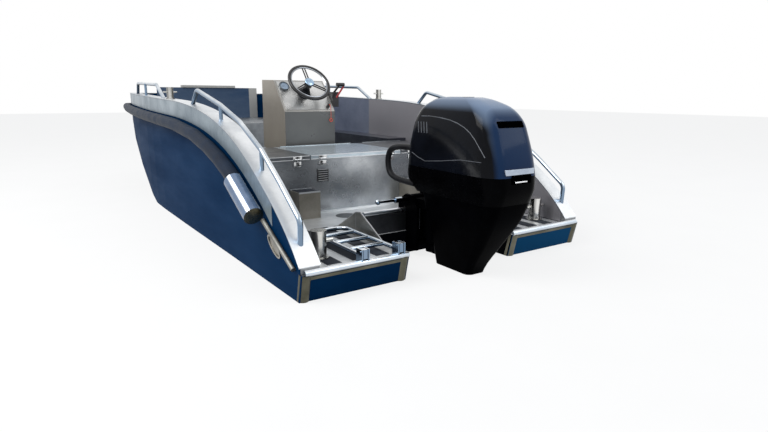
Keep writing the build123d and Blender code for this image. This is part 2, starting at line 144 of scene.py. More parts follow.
def make_mottle():
    """Soft uneven blotches, or fine lines where the stretch is large."""
    group, entry, leave = group_tree(
        "mottle",
        [("Stretch", "NodeSocketVector", (1.0, 1.0, 1.0)), ("Size", "NodeSocketFloat", 5.0),
         ("Low", "NodeSocketFloat", 0.35), ("High", "NodeSocketFloat", 0.65)],
        [("Mask", "NodeSocketFloat")])
    where = place(group, "ShaderNodeTexCoord")
    stretched = place(group, "ShaderNodeVectorMath",
                      {0: where.outputs["Object"], 1: entry.outputs["Stretch"]}, operation="MULTIPLY")
    cloud = place(group, "ShaderNodeTexNoise",
                  {"Vector": stretched.outputs[0], "Scale": entry.outputs["Size"],
                   "Detail": 6.0, "Roughness": 0.62})
    span = place(group, "ShaderNodeMapRange",
                 {0: cloud.outputs[0], 1: entry.outputs["Low"], 2: entry.outputs["High"]})
    feed(group, leave.inputs["Mask"], span.outputs[0])
    return group


mottle_group = make_mottle()


def mottle(tree, stretch=(1.0, 1.0, 1.0), size=5.0, low=0.35, high=0.65):
    """Place the mottle group with a surface's own values."""
    made = place(tree, "ShaderNodeGroup", node_tree=mottle_group)
    made.inputs["Stretch"].default_value = stretch
    made.inputs["Size"].default_value = size
    made.inputs["Low"].default_value = low
    made.inputs["High"].default_value = high
    return made.outputs["Mask"]


def make_along():
    """How far a point lies, or a surface faces, along a direction, as a mask."""
    group, entry, leave = group_tree(
        "along",
        [("Way", "NodeSocketVector", (0.0, 0.0, 1.0)), ("Facing", "NodeSocketFloat", 1.0),
         ("From", "NodeSocketFloat", 0.0), ("To", "NodeSocketFloat", 1.0)],
        [("Mask", "NodeSocketFloat")])
    where = place(group, "ShaderNodeTexCoord")
    read = place(group, "ShaderNodeMix", data_type="VECTOR")
    feed(group, read.inputs[0], entry.outputs["Facing"])
    feed(group, read.inputs[4], where.outputs["Object"])
    feed(group, read.inputs[5], where.outputs["Normal"])
    reach = place(group, "ShaderNodeVectorMath", {0: read.outputs[1], 1: entry.outputs["Way"]},
                  operation="DOT_PRODUCT")
    span = place(group, "ShaderNodeMapRange",
                 {0: reach.outputs["Value"], 1: entry.outputs["From"], 2: entry.outputs["To"]})
    feed(group, leave.inputs["Mask"], span.outputs[0])
    return group


along_group = make_along()


def along(tree, way, start, end, facing=1.0):
    """Place the direction mask; facing 0 reads the point's place instead of its normal."""
    made = place(tree, "ShaderNodeGroup", node_tree=along_group)
    made.inputs["Way"].default_value = way
    made.inputs["Facing"].default_value = facing
    made.inputs["From"].default_value = start
    made.inputs["To"].default_value = end
    return made.outputs["Mask"]


def coat(tree, output, colour, roughness, metal=0.0, height=None, bump=0.2, depth=0.001, fixed=None):
    """The surface's own Principled shader, with a bump where the surface has relief."""
    surface = place(tree, "ShaderNodeBsdfPrincipled")
    feed(tree, surface.inputs["Base Color"], colour)
    feed(tree, surface.inputs["Roughness"], roughness)
    feed(tree, surface.inputs["Metallic"], metal)
    for key, value in (fixed or {}).items():
        feed(tree, surface.inputs[key], value)
    if height is not None:
        relief = place(tree, "ShaderNodeBump", {"Height": height, "Strength": bump, "Distance": depth})
        feed(tree, surface.inputs["Normal"], relief.outputs[0])
    feed(tree, output.inputs[0], surface.outputs[0])


def moulded(name, dark, light, roughness=0.42, grain=140.0):
    """Moulded plastic: slight tone changes, a fine grain and softened gloss."""
    material, tree, output = empty_material(name)
    tone = mottle(tree, size=11.0)
    colour = blend_colour(tree, tone, dark, light)
    gloss = blend_value(tree, tone, roughness * 1.2, roughness * 0.8)
    coat(tree, output, colour, gloss, height=mottle(tree, size=grain), bump=0.12, depth=0.0006)
    return material


def dress(name, material):
    """Give a CAD node its finish."""
    mesh = cad[name].data
    mesh.materials.clear()
    mesh.materials.append(material)


def round_curve(name, route, radius, order, rings, steps):
    """A smooth round line along a route, closed at both ends."""
    curve = bpy.data.curves.new(name, "CURVE")
    curve.dimensions = "3D"
    curve.bevel_depth = radius
    curve.bevel_resolution = rings
    curve.resolution_u = steps
    curve.use_fill_caps = True
    line = curve.splines.new("NURBS")
    line.points.add(len(route) - 1)
    for point, spot in zip(line.points, route):
        point.co = (*spot, 1.0)
    line.order_u = order
    line.use_endpoint_u = True
    piece = bpy.data.objects.new(name, curve)
    scene.collection.objects.link(piece)
    return piece


lanyard_red = moulded("lanyard_red", (0.66, 0.060, 0.030), (0.92, 0.13, 0.07), 0.38)
lanyard = round_curve("lanyard_cord", LANYARD_ROUTE, LANYARD_THICK / 2, order=3, rings=4, steps=12)
lanyard.data.materials.append(lanyard_red)
dress("lanyard_ring", lanyard_red)
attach(lanyard, "hull_body")
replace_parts(lanyard, "stop_lanyard")

# Hull
# Welded aluminium plate, sprayed navy outside after welding, so the paint is even
# and a little dull, with rub marks along the sides. Inside it is bare up to the
# slate blue bow, and the motor well is painted near black as painted shade.
NAVY_DARK = (0.0003, 0.0150, 0.050)
NAVY_LIGHT = (0.0015, 0.0240, 0.074)
NAVY_RUBBED = (0.014, 0.055, 0.110)
NAVY_SUNLIT = (0.006, 0.066, 0.160)
SUNLIT_LOWEST = (0.3, -0.05, -0.2)
SUNLIT_HIGHEST = (1.3, 0.08, 0.2)
BOW_SLATE = (0.040, 0.052, 0.078)
BOW_END_Y = 4.935
WELL_SHADE_BLACK = (0.0025, 0.003, 0.0045)
BARE_INSIDE = (0.30, 0.31, 0.32)
INSIDE_HALF = 1.055
INSIDE_LOW = 0.1495
INSIDE_TOP = 1.2
INSIDE_AFT = -0.05
INSIDE_FWD = 3.49
WELL_HALF = 0.4083
WELL_FRONT = 0.4603
POD_END = 0.004


def make_inside_box():
    """Mask of the points between two corners."""
    group, entry, leave = group_tree(
        "inside_box",
        [("Lowest", "NodeSocketVector", (-1.0, -1.0, -1.0)),
         ("Highest", "NodeSocketVector", (1.0, 1.0, 1.0))],
        [("Mask", "NodeSocketFloat")])
    where = place(group, "ShaderNodeTexCoord")
    parts = place(group, "ShaderNodeSeparateXYZ", {0: where.outputs["Object"]})
    low = place(group, "ShaderNodeSeparateXYZ", {0: entry.outputs["Lowest"]})
    high = place(group, "ShaderNodeSeparateXYZ", {0: entry.outputs["Highest"]})
    mask = 1.0
    for axis in range(3):
        above = place(group, "ShaderNodeMath", {0: parts.outputs[axis], 1: low.outputs[axis]},
                      operation="GREATER_THAN")
        below = place(group, "ShaderNodeMath", {0: parts.outputs[axis], 1: high.outputs[axis]},
                      operation="LESS_THAN")
        between = times(group, above.outputs[0], below.outputs[0])
        mask = times(group, between, mask)
    feed(group, leave.inputs["Mask"], mask)
    return group


inside_box_group = make_inside_box()


def inside_box(tree, lowest, highest):
    """Place the box mask with a surface's own corners."""
    made = place(tree, "ShaderNodeGroup", node_tree=inside_box_group)
    made.inputs["Lowest"].default_value = lowest
    made.inputs["Highest"].default_value = highest
    return made.outputs["Mask"]


def navy_enamel():
    """Sprayed blue with rub marks, painted near black in the motor well as painted shade, bare and slate
    inside.
    """
    material, tree, output = empty_material("navy_enamel")
    tone = mottle(tree, (0.5, 0.35, 1.6), 3.0, 0.3, 0.7)
    rubs = mottle(tree, (0.5, 0.5, 9.0), 14.0, 0.62, 0.80)
    colour = blend_colour(tree, tone, NAVY_DARK, NAVY_LIGHT)
    colour = blend_colour(tree, times(tree, rubs, 0.14), colour, NAVY_RUBBED)
    sunlit = inside_box(tree, SUNLIT_LOWEST, SUNLIT_HIGHEST)
    colour = blend_colour(tree, times(tree, sunlit, 0.75), colour, NAVY_SUNLIT)
    # Painted shade: every face inside the motor well is painted near black.
    well = inside_box(tree, (-WELL_HALF, POD_END, -1.0), (WELL_HALF, WELL_FRONT, 1.0))
    colour = blend_colour(tree, well, colour, WELL_SHADE_BLACK)
    inside = inside_box(tree, (-INSIDE_HALF, INSIDE_AFT, INSIDE_LOW), (INSIDE_HALF, INSIDE_FWD, INSIDE_TOP))
    colour = blend_colour(tree, inside, colour, BARE_INSIDE)
    bow = inside_box(tree, (-INSIDE_HALF, INSIDE_FWD, INSIDE_LOW), (INSIDE_HALF, BOW_END_Y, INSIDE_TOP))
    bow = times(tree, bow, along(tree, (0.0, -1.0, 0.0), 0.5, 0.9))
    colour = blend_colour(tree, bow, colour, BOW_SLATE)
    gloss = blend_value(tree, tone, 0.55, 0.42)
    coat(tree, output, colour, gloss, inside, height=mottle(tree, size=220.0), bump=0.05, depth=0.0008,
         fixed={"Specular IOR Level": 0.01})
    return material


dress("hull", navy_enamel())

# Pod corner posts
# Bare aluminium half round welded down each corner of the two pods before painting,
# with a narrow bare edge under the tube. Ground smooth and dull, stained by water.
POST_BARE = (0.15, 0.145, 0.11)
POST_DULL = (0.055, 0.055, 0.040)
POST_RADIUS = 0.031
POST_SINK = 0.029
POST_DEEP = 0.021
POST_BELOW_SOLE = 0.004
POD_HALF = 1.06
AFT_RAKE = 125.0 / 555.0
SOLE_Z = 0.155
CHINE_Z = -0.058
EDGE_Z = 0.130
EDGE_HIGH = 0.018
EDGE_THICK = 0.003
EDGE_CLEAR = 0.02


def raked_y(z):
    """How far forward the pods' raked aft face is at a height."""
    return (SOLE_Z - z) * AFT_RAKE


def finish_piece(name, shape, material, body="hull_body", smooth=32.0):
    """Make a bmesh an object at the origin that moves with a body."""
    bmesh.ops.recalc_face_normals(shape, faces=shape.faces)
    mesh = bpy.data.meshes.new(name)
    shape.to_mesh(mesh)
    shape.free()
    mesh.shade_smooth()
    mesh.set_sharp_from_angle(angle=math.radians(smooth))
    mesh.materials.append(material)
    piece = bpy.data.objects.new(name, mesh)
    scene.collection.objects.link(piece)
    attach(piece, body)
    return piece


def add_rod(shape, start, end, radius, sides=16, end_radius=None):
    """Round bar between two points."""
    start = Vector(start)
    end = Vector(end)
    run = end - start
    turn = run.to_track_quat("Z", "Y").to_matrix().to_4x4()
    bmesh.ops.create_cone(shape, cap_ends=True, segments=sides, radius1=radius,
                          radius2=radius if end_radius is None else end_radius, depth=run.length,
                          matrix=Matrix.Translation((start + end) / 2) @ turn)


def add_box(shape, low, high, turn=None, round_by=0.0):
    """Box between two corners, turned about its middle, with eased edges."""
    low = Vector(low)
    high = Vector(high)
    size = Matrix.Diagonal((*(high - low), 1.0))
    turn = turn or Matrix.Identity(4)
    middle = Matrix.Translation((low + high) / 2)
    made = bmesh.ops.create_cube(shape, size=1.0, matrix=middle @ turn @ size)
    if round_by:
        edges = list({edge for vert in made["verts"] for edge in vert.link_edges})
        bmesh.ops.bevel(shape, geom=edges, offset=round_by, affect="EDGES", segments=2,
                        profile=0.5, material=-1)


def bare_plate(name, dull, bright, stretch, roughness=0.34, grain=0.16, stain=0.3, metal=1.0, size=4.0,
               tints=()):
    """Milled aluminium: cloudy oxide, grain along the rolling and dark water marks.
    Each tint is a direction mask's values and the colour that it brings in."""
    material, tree, output = empty_material(name)
    oxide = mottle(tree, (1.0, 1.0, 1.0), size, 0.33, 0.68)
    lines = mottle(tree, stretch, 9.0, 0.3, 0.7)
    marks = mottle(tree, (1.0, 1.0, 1.7), 27.0, 0.60, 0.78)
    colour = blend_colour(tree, oxide, dull, bright)
    colour = blend_colour(tree, times(tree, lines, grain), colour, [min(1.0, 1.3 * c) for c in bright])
    colour = blend_colour(tree, times(tree, marks, stain), colour, [0.4 * c for c in dull])
    for way, start, end, facing, share, tint in tints:
        mask = times(tree, along(tree, way, start, end, facing), share)
        colour = blend_colour(tree, mask, colour, tint)
    gloss = blend_value(tree, oxide, roughness * 1.25, roughness * 0.85)
    coat(tree, output, colour, gloss, metal, height=lines, bump=0.10, depth=0.0005)
    return material


post_metal = bare_plate("corner_post_metal", POST_DULL, POST_BARE, (1.0, 1.0, 40.0), 0.42)
posts = bmesh.new()
for side in (-1, 1):
    for half, inward in ((POD_HALF, -1), (WELL_HALF, 1)):
        x = side * (half + inward * POST_SINK)
        top = (x, raked_y(SOLE_Z) + POST_DEEP, SOLE_Z - POST_BELOW_SOLE)
        foot = (x, raked_y(CHINE_Z) + POST_DEEP, CHINE_Z)
        add_rod(posts, foot, top, POST_RADIUS, 20)
edge_lean = Matrix.Rotation(math.atan(AFT_RAKE), 4, "X")
edge_y = raked_y(EDGE_Z)
for side in (-1, 1):
    low_x, high_x = sorted((side * (WELL_HALF + EDGE_CLEAR), side * (POD_HALF - EDGE_CLEAR)))
    add_box(posts, (low_x, edge_y - EDGE_THICK, EDGE_Z - EDGE_HIGH / 2),
            (high_x, edge_y + EDGE_THICK, EDGE_Z + EDGE_HIGH / 2), edge_lean)
finish_piece("pod_corner_posts", posts, post_metal)

# Pod edge tubes and gunwale caps
# The tubes and the wide flat caps are bare aluminium welded on after the hull's
# plates, rubbed bright by ropes and boots, so they look almost white under a sky.
# The caps turn darker and bluer towards the bow as a painted sky reflection, and
# darker on their port-facing faces as painted shade.
CAP_DULL = (0.60, 0.63, 0.66)
CAP_BRIGHT = (0.86, 0.88, 0.90)
CAP_FAR_SKY_REFLECTION = (0.12, 0.17, 0.235)
CAP_SIDE_SHADE = (0.15, 0.19, 0.235)
TUBE_UNDER_SHADE = (0.16, 0.20, 0.26)
TUBE_SKY_REFLECTION = (0.38, 0.52, 0.68)
# Painted light: the darker, bluer caps towards the bow are a painted sky reflection, and the darker
# port-facing faces are painted shade.
cap_metal = bare_plate("cap_metal", CAP_DULL, CAP_BRIGHT, (40.0, 1.2, 40.0), 0.36, 0.15, 0.18,
                       tints=[((0.0, 1.0, 0.0), 1.2, 4.4, 0.0, 0.45, CAP_FAR_SKY_REFLECTION),
                              ((-1.0, 0.0, 0.0), 0.5, 0.9, 1.0, 0.85, CAP_SIDE_SHADE)])
for name in ("gunwale_caps", "bow_cap"):
    dress(name, cap_metal)
# Painted light: the tubes' downward faces are painted dark as painted shade, and their aft faces sky blue as
# a painted sky reflection.
edge_metal = bare_plate("edge_tube_metal", CAP_DULL, CAP_BRIGHT, (1.5, 40.0, 40.0), 0.3, 0.2, 0.2,
                        tints=[((0.0, -0.6, 0.8), 0.5, -0.1, 1.0, 1.0, TUBE_UNDER_SHADE),
                               ((0.0, -0.9, 0.3), 0.7, 1.0, 1.0, 0.55, TUBE_SKY_REFLECTION)])
dress("pod_edge_tubes", edge_metal)
dress("transom_tube", edge_metal)

# Drain scoops
# Pressed aluminium scoops fixed to the pods' sides, one a side, so that the decks
# drain as the boat moves. Each has a dull oval pan set inside its rim.
SCOOP_X = 1.062
SCOOP_Y = 0.315
SCOOP_Z = 0.228
SCOOP_TILT = 28.0
SCOOP_LONG = 0.076
SCOOP_HIGH = 0.025
SCOOP_THICK = 0.004
scoop_metal = bare_plate("scoop_metal", (0.16, 0.155, 0.14), (0.40, 0.385, 0.35), (1.0, 30.0, 1.0), 0.34)
dress("drain_scoops", scoop_metal)
scoops = bmesh.new()
lie = Matrix.Rotation(math.radians(SCOOP_TILT), 4, "X") @ Matrix.Rotation(math.radians(90.0), 4, "Y")
flat = Matrix.Diagonal((SCOOP_HIGH, SCOOP_LONG, 1.0, 1.0))
for side in (-1, 1):
    middle = Matrix.Translation((side * SCOOP_X, SCOOP_Y, SCOOP_Z))
    bmesh.ops.create_cone(scoops, cap_ends=True, segments=40, radius1=1.0, radius2=1.0, depth=SCOOP_THICK,
                          matrix=middle @ lie @ flat)
finish_piece("scoop_pans", scoops, scoop_metal)

# Bulwarks
# Inner and outer plates, bare. The outer strip between cap and fender is streaked by
# run-off; the inner linings are sheets butted at upright seams, each a little different.
STRIP_DULL = (0.085, 0.115, 0.145)
STRIP_BRIGHT = (0.22, 0.27, 0.31)
LINING_DULL = (0.085, 0.105, 0.160)
LINING_BRIGHT = (0.20, 0.225, 0.30)
LINING_SEAM_Y = 2.608
LINING_AFT = (0.29, 0.275, 0.285)
BAR_DULL = (0.15, 0.15, 0.14)
BAR_BRIGHT = (0.30, 0.30, 0.28)
BAR_UNDER_SHADE = (0.05, 0.05, 0.05)
SEAM_X = 1.046
SEAM_TOP = 0.93
SEAM_DEEP = 0.002
SEAM_WIDE = 0.004
strip_metal = bare_plate("strip_metal", STRIP_DULL, STRIP_BRIGHT, (1.0, 30.0, 1.5), 0.36, 0.65, 0.5, 0.45)
dress("sheer_strips", strip_metal)
# Painted shade: the rubbing bars' downward faces are painted near black.
bar_metal = bare_plate("rubbing_bar_metal", BAR_DULL, BAR_BRIGHT, (1.0, 1.0, 1.0), 0.5,
                       tints=[((-0.3, 0.0, 0.95), 0.2, -0.6, 1.0, 0.8, BAR_UNDER_SHADE)])
dress("rubbing_bars", bar_metal)
lining_metal = bare_plate("lining_metal", LINING_DULL, LINING_BRIGHT, (40.0, 1.0, 40.0), 0.32, 0.2, 0.2,
                          0.45, 1.6,
                          tints=[((0.0, -1.0, 0.0), -LINING_SEAM_Y - 0.01, -LINING_SEAM_Y + 0.01, 0.0, 0.8,
                                  LINING_AFT)])
dress("bulwark_linings", lining_metal)
seams = bmesh.new()
for side in (-1, 1):
    add_box(seams, (side * SEAM_X - SEAM_DEEP, LINING_SEAM_Y - SEAM_WIDE, SOLE_Z),
            (side * SEAM_X + SEAM_DEEP, LINING_SEAM_Y + SEAM_WIDE, SEAM_TOP))
finish_piece("lining_seams", seams, cap_metal)

# Fender
# A hollow extruded rubber bar in a rail, faded to a blue grey bloom on top, closed
# aft by a polished aluminium drum on each side.
FENDER_DARK = (0.004, 0.008, 0.017)
FENDER_BLOOM = (0.012, 0.022, 0.044)
DRUM_DULL = (0.12, 0.17, 0.27)
DRUM_BRIGHT = (0.24, 0.32, 0.46)
DRUM_UNDER_SHADE = (0.07, 0.085, 0.10)
DRUM_END = (0.30, 0.28, 0.19)
DRUM_GLINT = (0.86, 0.88, 0.90)


def faded_rubber(name, dark, bloom, roughness=0.55):
    """Rubber with a dry bloom, scuffs and a fine tooth."""
    material, tree, output = empty_material(name)
    haze = mottle(tree, size=9.0, low=0.3, high=0.72)
    scuffs = mottle(tree, (1.0, 0.4, 4.0), 30.0, 0.62, 0.8)
    colour = blend_colour(tree, haze, dark, bloom)
    colour = blend_colour(tree, times(tree, scuffs, 0.35), colour, [2.0 * c + 0.01 for c in bloom])
    gloss = blend_value(tree, haze, roughness * 0.75, roughness * 1.1)
    coat(tree, output, colour, gloss, height=mottle(tree, size=170.0), bump=0.15, depth=0.0008,
         fixed={"Specular IOR Level": 0.1})
    return material


dress("fender", faded_rubber("fender_rubber", FENDER_DARK, FENDER_BLOOM))
# Painted light on the drums: downward faces are painted dark as painted shade, and a narrow painted highlight
# runs along each drum's upper outboard side. The aft end face is coloured olive.
drum_tints = [((0.0, 0.0, 1.0), 0.1, -0.5, 1.0, 0.8, DRUM_UNDER_SHADE),
              ((0.0, -0.885, -0.466), 0.85, 0.9, 1.0, 1.0, DRUM_END)]
for side in (-1, 1):
    drum_tints.append(((side * 0.66, -0.35, 0.664), 0.968, 0.99, 1.0, 0.9, DRUM_GLINT))
drum_metal = bare_plate("drum_metal", DRUM_DULL, DRUM_BRIGHT, (1.0, 1.0, 1.0), 0.2, 0.1, 0.12,
                        tints=drum_tints)
dress("fender_ends", drum_metal)

# Decks
# Bare plate on the cockpit sole and the pods, with glued grit strips on the pods
# and a dark round hatch let into the sole, and ribbed plate on the foredeck.
DECK_DULL = (0.20, 0.22, 0.24)
DECK_BRIGHT = (0.52, 0.55, 0.58)
RIB_PITCH = 0.012
GRIT_DARK = (0.012, 0.014, 0.020)
GRIT_WORN = (0.055, 0.062, 0.075)
GRIT_STRIPS_X = (-0.985, -0.835, -0.685, -0.535)
GRIT_WIDE = 0.085
GRIT_FROM = 0.075
GRIT_TO = 0.80
GRIT_THICK = 0.002
HATCH_AT = (-0.212, 1.035, SOLE_Z + 0.0008)
HATCH_RADIUS = 0.075
HATCH_THICK = 0.0016


def make_ribs():
    """Rounded parallel ribs along X, as a height from 0 to 1."""
    group, entry, leave = group_tree(
        "ribs", [("Pitch", "NodeSocketFloat", 0.01)], [("Height", "NodeSocketFloat")])
    where = place(group, "ShaderNodeTexCoord")
    parts = place(group, "ShaderNodeSeparateXYZ", {0: where.outputs["Object"]})
    turns = place(group, "ShaderNodeMath", {0: parts.outputs[1], 1: entry.outputs["Pitch"]},
                  operation="DIVIDE")
    wave = place(group, "ShaderNodeMath", {0: times(group, turns.outputs[0], math.tau)}, operation="SINE")
    height = place(group, "ShaderNodeMapRange", {0: wave.outputs[0], 1: -0.2, 2: 0.8})
    feed(group, leave.inputs["Height"], height.outputs[0])
    return group


ribs_group = make_ribs()


def ribbed_plate(name, dull, bright, pitch, roughness=0.4, metal=0.9):
    """Plate with worn bright ribs and darker valleys."""
    material, tree, output = empty_material(name)
    ribs = place(tree, "ShaderNodeGroup", node_tree=ribs_group)
    ribs.inputs["Pitch"].default_value = pitch
    wear = mottle(tree, size=6.0, low=0.3, high=0.72)
    worn = blend_colour(tree, wear, dull, bright)
    colour = blend_colour(tree, ribs.outputs["Height"], [0.5 * c for c in dull], worn)
    gloss = blend_value(tree, wear, roughness * 1.2, roughness * 0.8)
    coat(tree, output, colour, gloss, metal, height=ribs.outputs["Height"], bump=0.5, depth=0.0012)
    return material


sole_metal = bare_plate("sole_metal", (0.46, 0.48, 0.50), (0.84, 0.86, 0.87), (1.2, 40.0, 40.0), 0.36,
                        metal=0.6)
dress("sole_plate", sole_metal)
hatch = bmesh.new()
bmesh.ops.create_cone(hatch, cap_ends=True, segments=40, radius1=HATCH_RADIUS, radius2=HATCH_RADIUS,
                      depth=HATCH_THICK, matrix=Matrix.Translation(HATCH_AT))
hatch_metal = bare_plate("hatch_metal", (0.06, 0.065, 0.07), (0.14, 0.15, 0.16), (1.0, 1.0, 1.0), 0.4)
finish_piece("deck_hatch", hatch, hatch_metal)
dress("foredeck_plate", ribbed_plate("deck_metal", DECK_DULL, DECK_BRIGHT, RIB_PITCH))

grit = faded_rubber("grit_strip", GRIT_DARK, GRIT_WORN, 0.8)
strips = bmesh.new()
for side in (-1, 1):
    for x in GRIT_STRIPS_X:
        add_box(strips, (side * x - GRIT_WIDE / 2, GRIT_FROM, SOLE_Z),
                (side * x + GRIT_WIDE / 2, GRIT_TO, SOLE_Z + GRIT_THICK))
finish_piece("grit_strips", strips, grit)

# Bow panel
# Folded plate across the bow, painted the same blue as the hull inside, with a bare
# step strip welded along its top.
PANEL_BLUE_DARK = (0.024, 0.055, 0.115)
PANEL_BLUE_LIGHT = (0.080, 0.115, 0.175)
PANEL_BARE = (0.34, 0.34, 0.33)
PANEL_TOP_Z = 1.0895
PANEL_PAINT_X = 0.53


def panel_enamel():
    """Thin blue grey paint, uneven where it was brushed on."""
    material, tree, output = empty_material("panel_enamel")
    tone = mottle(tree, (0.4, 1.0, 1.2), 2.4, 0.3, 0.7)
    colour = blend_colour(tree, tone, PANEL_BLUE_DARK, PANEL_BLUE_LIGHT)
    step = inside_box(tree, (-2.0, 0.0, PANEL_TOP_Z), (2.0, 6.0, 2.0))
    side = inside_box(tree, (PANEL_PAINT_X, 0.0, 0.0), (2.0, 6.0, 2.0))
    bare = place(tree, "ShaderNodeMath", {0: step, 1: side}, operation="MAXIMUM").outputs[0]
    colour = blend_colour(tree, bare, colour, PANEL_BARE)
    coat(tree, output, colour, blend_value(tree, tone, 0.5, 0.34), bare, height=mottle(tree, size=200.0),
         bump=0.05, depth=0.0008, fixed={"Specular IOR Level": 0.2})
    return material


dress("bow_panel", panel_enamel())

# Motor well
# A low doubled transom carries the motor; its face is painted near black as painted
# shade, since the well lies in deep shade, and a folded gusset braces it to each pod.
GUSSET_DULL = (0.20, 0.20, 0.185)
GUSSET_BRIGHT = (0.48, 0.475, 0.45)
TRANSOM_SHADE_DARK = (0.020, 0.022, 0.026)
TRANSOM_SHADE_LIGHT = (0.06, 0.065, 0.075)
GUSSET_OUTLINE = [(0.235, 0.158), (0.505, 0.298), (0.560, 0.290), (0.785, 0.158)]
GUSSET_FOLD = ((0.560, 0.290), (0.560, 0.158))
GUSSET_X = 0.4125
GUSSET_HIGHLIGHT_RADIUS = 0.0045
# Painted shade: the transom's face is painted near black.
dress("transom", bare_plate("transom_metal", TRANSOM_SHADE_DARK, TRANSOM_SHADE_LIGHT, (1.0, 40.0, 40.0), 0.45))
gusset_metal = bare_plate("gusset_metal", GUSSET_DULL, GUSSET_BRIGHT, (40.0, 1.5, 40.0), 0.3)
dress("well_gussets", gusset_metal)
# Painted highlights: bright rods along the gussets' upper edges and fold stand in for the light caught there.
gusset_highlights = bmesh.new()
for side in (-1, 1):
    for (y0, z0), (y1, z1) in list(zip(GUSSET_OUTLINE, GUSSET_OUTLINE[1:])) + [GUSSET_FOLD]:
        add_rod(gusset_highlights, (side * GUSSET_X, y0, z0), (side * GUSSET_X, y1, z1), GUSSET_HIGHLIGHT_RADIUS, 8)
gusset_highlight_metal = bare_plate("edge_metal", (0.34, 0.35, 0.36), (0.70, 0.72, 0.74), (1.0, 1.0, 1.0), 0.3)
finish_piece("gusset_highlights", gusset_highlights, gusset_highlight_metal)

# Locker
# A welded plate bench from side to side. Its aft face is bare and mirrors the deck;
# the middle lid is plain plate, the outer ones are ribbed, all on long hinges.
BENCH_DULL = (0.17, 0.19, 0.215)
BENCH_BRIGHT = (0.50, 0.52, 0.54)
BENCH_AFT_Y = 1.22
LID_DULL = (0.10, 0.11, 0.125)
LID_BRIGHT = (0.30, 0.32, 0.34)
LID_PITCH = 0.030
HINGE_DARK = (0.10, 0.11, 0.12)
HINGE_WIDE = 0.013
bench_metal = bare_plate("bench_metal", BENCH_DULL, BENCH_BRIGHT, (1.5, 40.0, 40.0), 0.24, 0.22, 0.25,
                         0.8, 2.6)
dress("locker_bench", bench_metal)
hinge_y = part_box("centre_lid")[1][1] - HINGE_WIDE
lid_metal = bare_plate("lid_metal", (0.44, 0.53, 0.60), (0.70, 0.79, 0.86), (1.5, 40.0, 40.0), 0.17, 0.12,
                       0.14, 0.6, tints=[((0.0, 1.0, 0.0), hinge_y, hinge_y + 0.002, 0.0, 0.9, HINGE_DARK)])
dress("centre_lid", lid_metal)
ribbed_lid = ribbed_plate("ribbed_lid_metal", LID_DULL, LID_BRIGHT, LID_PITCH, 0.34)
dress("port_lid", ribbed_lid)
dress("starboard_lid", ribbed_lid)

# Locker steps and trim
# A folded plate box welded to the locker's aft face on each side, with grit treads
# and bright edges. Below the lids run a pressed vent's slats and a bead at the foot.
STEP_X = (0.396, 0.560)
STEP_Y = (1.075, 1.220)
STEP_TOP = 0.345
STEP_TREADS = 5
TREAD_FROM = 0.018
TREAD_HALF = 0.010
TREAD_INSET = 0.008
TREAD_THICK = 0.003
EDGE_STRIP = 0.006
VENT_X = (-0.338, -0.262)
VENT_LOW = 0.396
VENT_PITCH = 0.016
VENT_SLATS = 6
VENT_OUT = (0.0075, 0.004)
FOOT_HALF = 0.90
step_metal = bare_plate("step_metal", (0.17, 0.16, 0.135), (0.36, 0.335, 0.29), (40.0, 40.0, 1.5), 0.30,
                        metal=0.5)
tread_pitch = (STEP_Y[1] - STEP_Y[0] - 0.03) / (STEP_TREADS - 1)
step_bodies = bmesh.new()
step_treads = bmesh.new()
trims = bmesh.new()
for side in (-1, 1):
    near, far = sorted((side * STEP_X[0], side * STEP_X[1]))
    add_box(step_bodies, (near, STEP_Y[0], SOLE_Z), (far, STEP_Y[1], STEP_TOP))
    for count in range(STEP_TREADS):
        y = STEP_Y[0] + TREAD_FROM + count * tread_pitch
        add_box(step_treads, (near + TREAD_INSET, y - TREAD_HALF, STEP_TOP),
                (far - TREAD_INSET, y + TREAD_HALF, STEP_TOP + TREAD_THICK))
    for y in (STEP_Y[0], STEP_Y[1] - EDGE_STRIP):
        add_box(trims, (near, y - 0.001, STEP_TOP - EDGE_STRIP), (far, y + EDGE_STRIP, STEP_TOP + 0.004))
for count in range(VENT_SLATS):
    z = VENT_LOW + count * VENT_PITCH
    add_box(trims, (VENT_X[0], BENCH_AFT_Y - VENT_OUT[0], z),
            (VENT_X[1], BENCH_AFT_Y - VENT_OUT[1], z + 0.003))
add_box(trims, (-FOOT_HALF, BENCH_AFT_Y - 0.012, SOLE_Z), (FOOT_HALF, BENCH_AFT_Y - 0.001, SOLE_Z + 0.012))
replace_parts(finish_piece("step_shells", step_bodies, step_metal), "step_boxes")
finish_piece("step_treads", step_treads, grit)
finish_piece("bench_trims", trims, cap_metal)

# Lid lips and latches
# Each lid's aft edge is folded down into a bright lip. Stainless toggle latches hold
# it: the keep is riveted to the lid and the catch to the locker's face below.
LID_AFT_Y = 1.212
LID_TOP_Z = 0.587
LIP_DROPS = (0.006, 0.031)
LIP_HIGH = 0.005
LID_LIPS = [
    ("port_lid_body", -0.940, -0.406),
    ("centre_lid_body", -0.392, 0.392),
    ("starboard_lid_body", 0.406, 0.940),
]
LATCHES = [
    (-0.501, "port_lid_body"),
    (-0.300, "centre_lid_body"),
    (0.300, "centre_lid_body"),
    (0.501, "starboard_lid_body"),
]
KEEP_HALF = 0.034
CATCH_HALF = 0.028
LATCH_ROD_HALF = 0.026
lip_metal = bare_plate("lip_metal", (0.78, 0.80, 0.82), (0.94, 0.95, 0.96), (1.5, 40.0, 40.0), 0.3, 0.1,
                       0.1, 0.35)
for body, low_x, high_x in LID_LIPS:
    lip = bmesh.new()
    for drop in LIP_DROPS:
        z = LID_TOP_Z - drop
        add_box(lip, (low_x, LID_AFT_Y - 0.0012, z), (high_x, LID_AFT_Y + 0.002, z + LIP_HIGH))
    finish_piece("lid_lip_" + body.replace("_body", ""), lip, lip_metal, body)

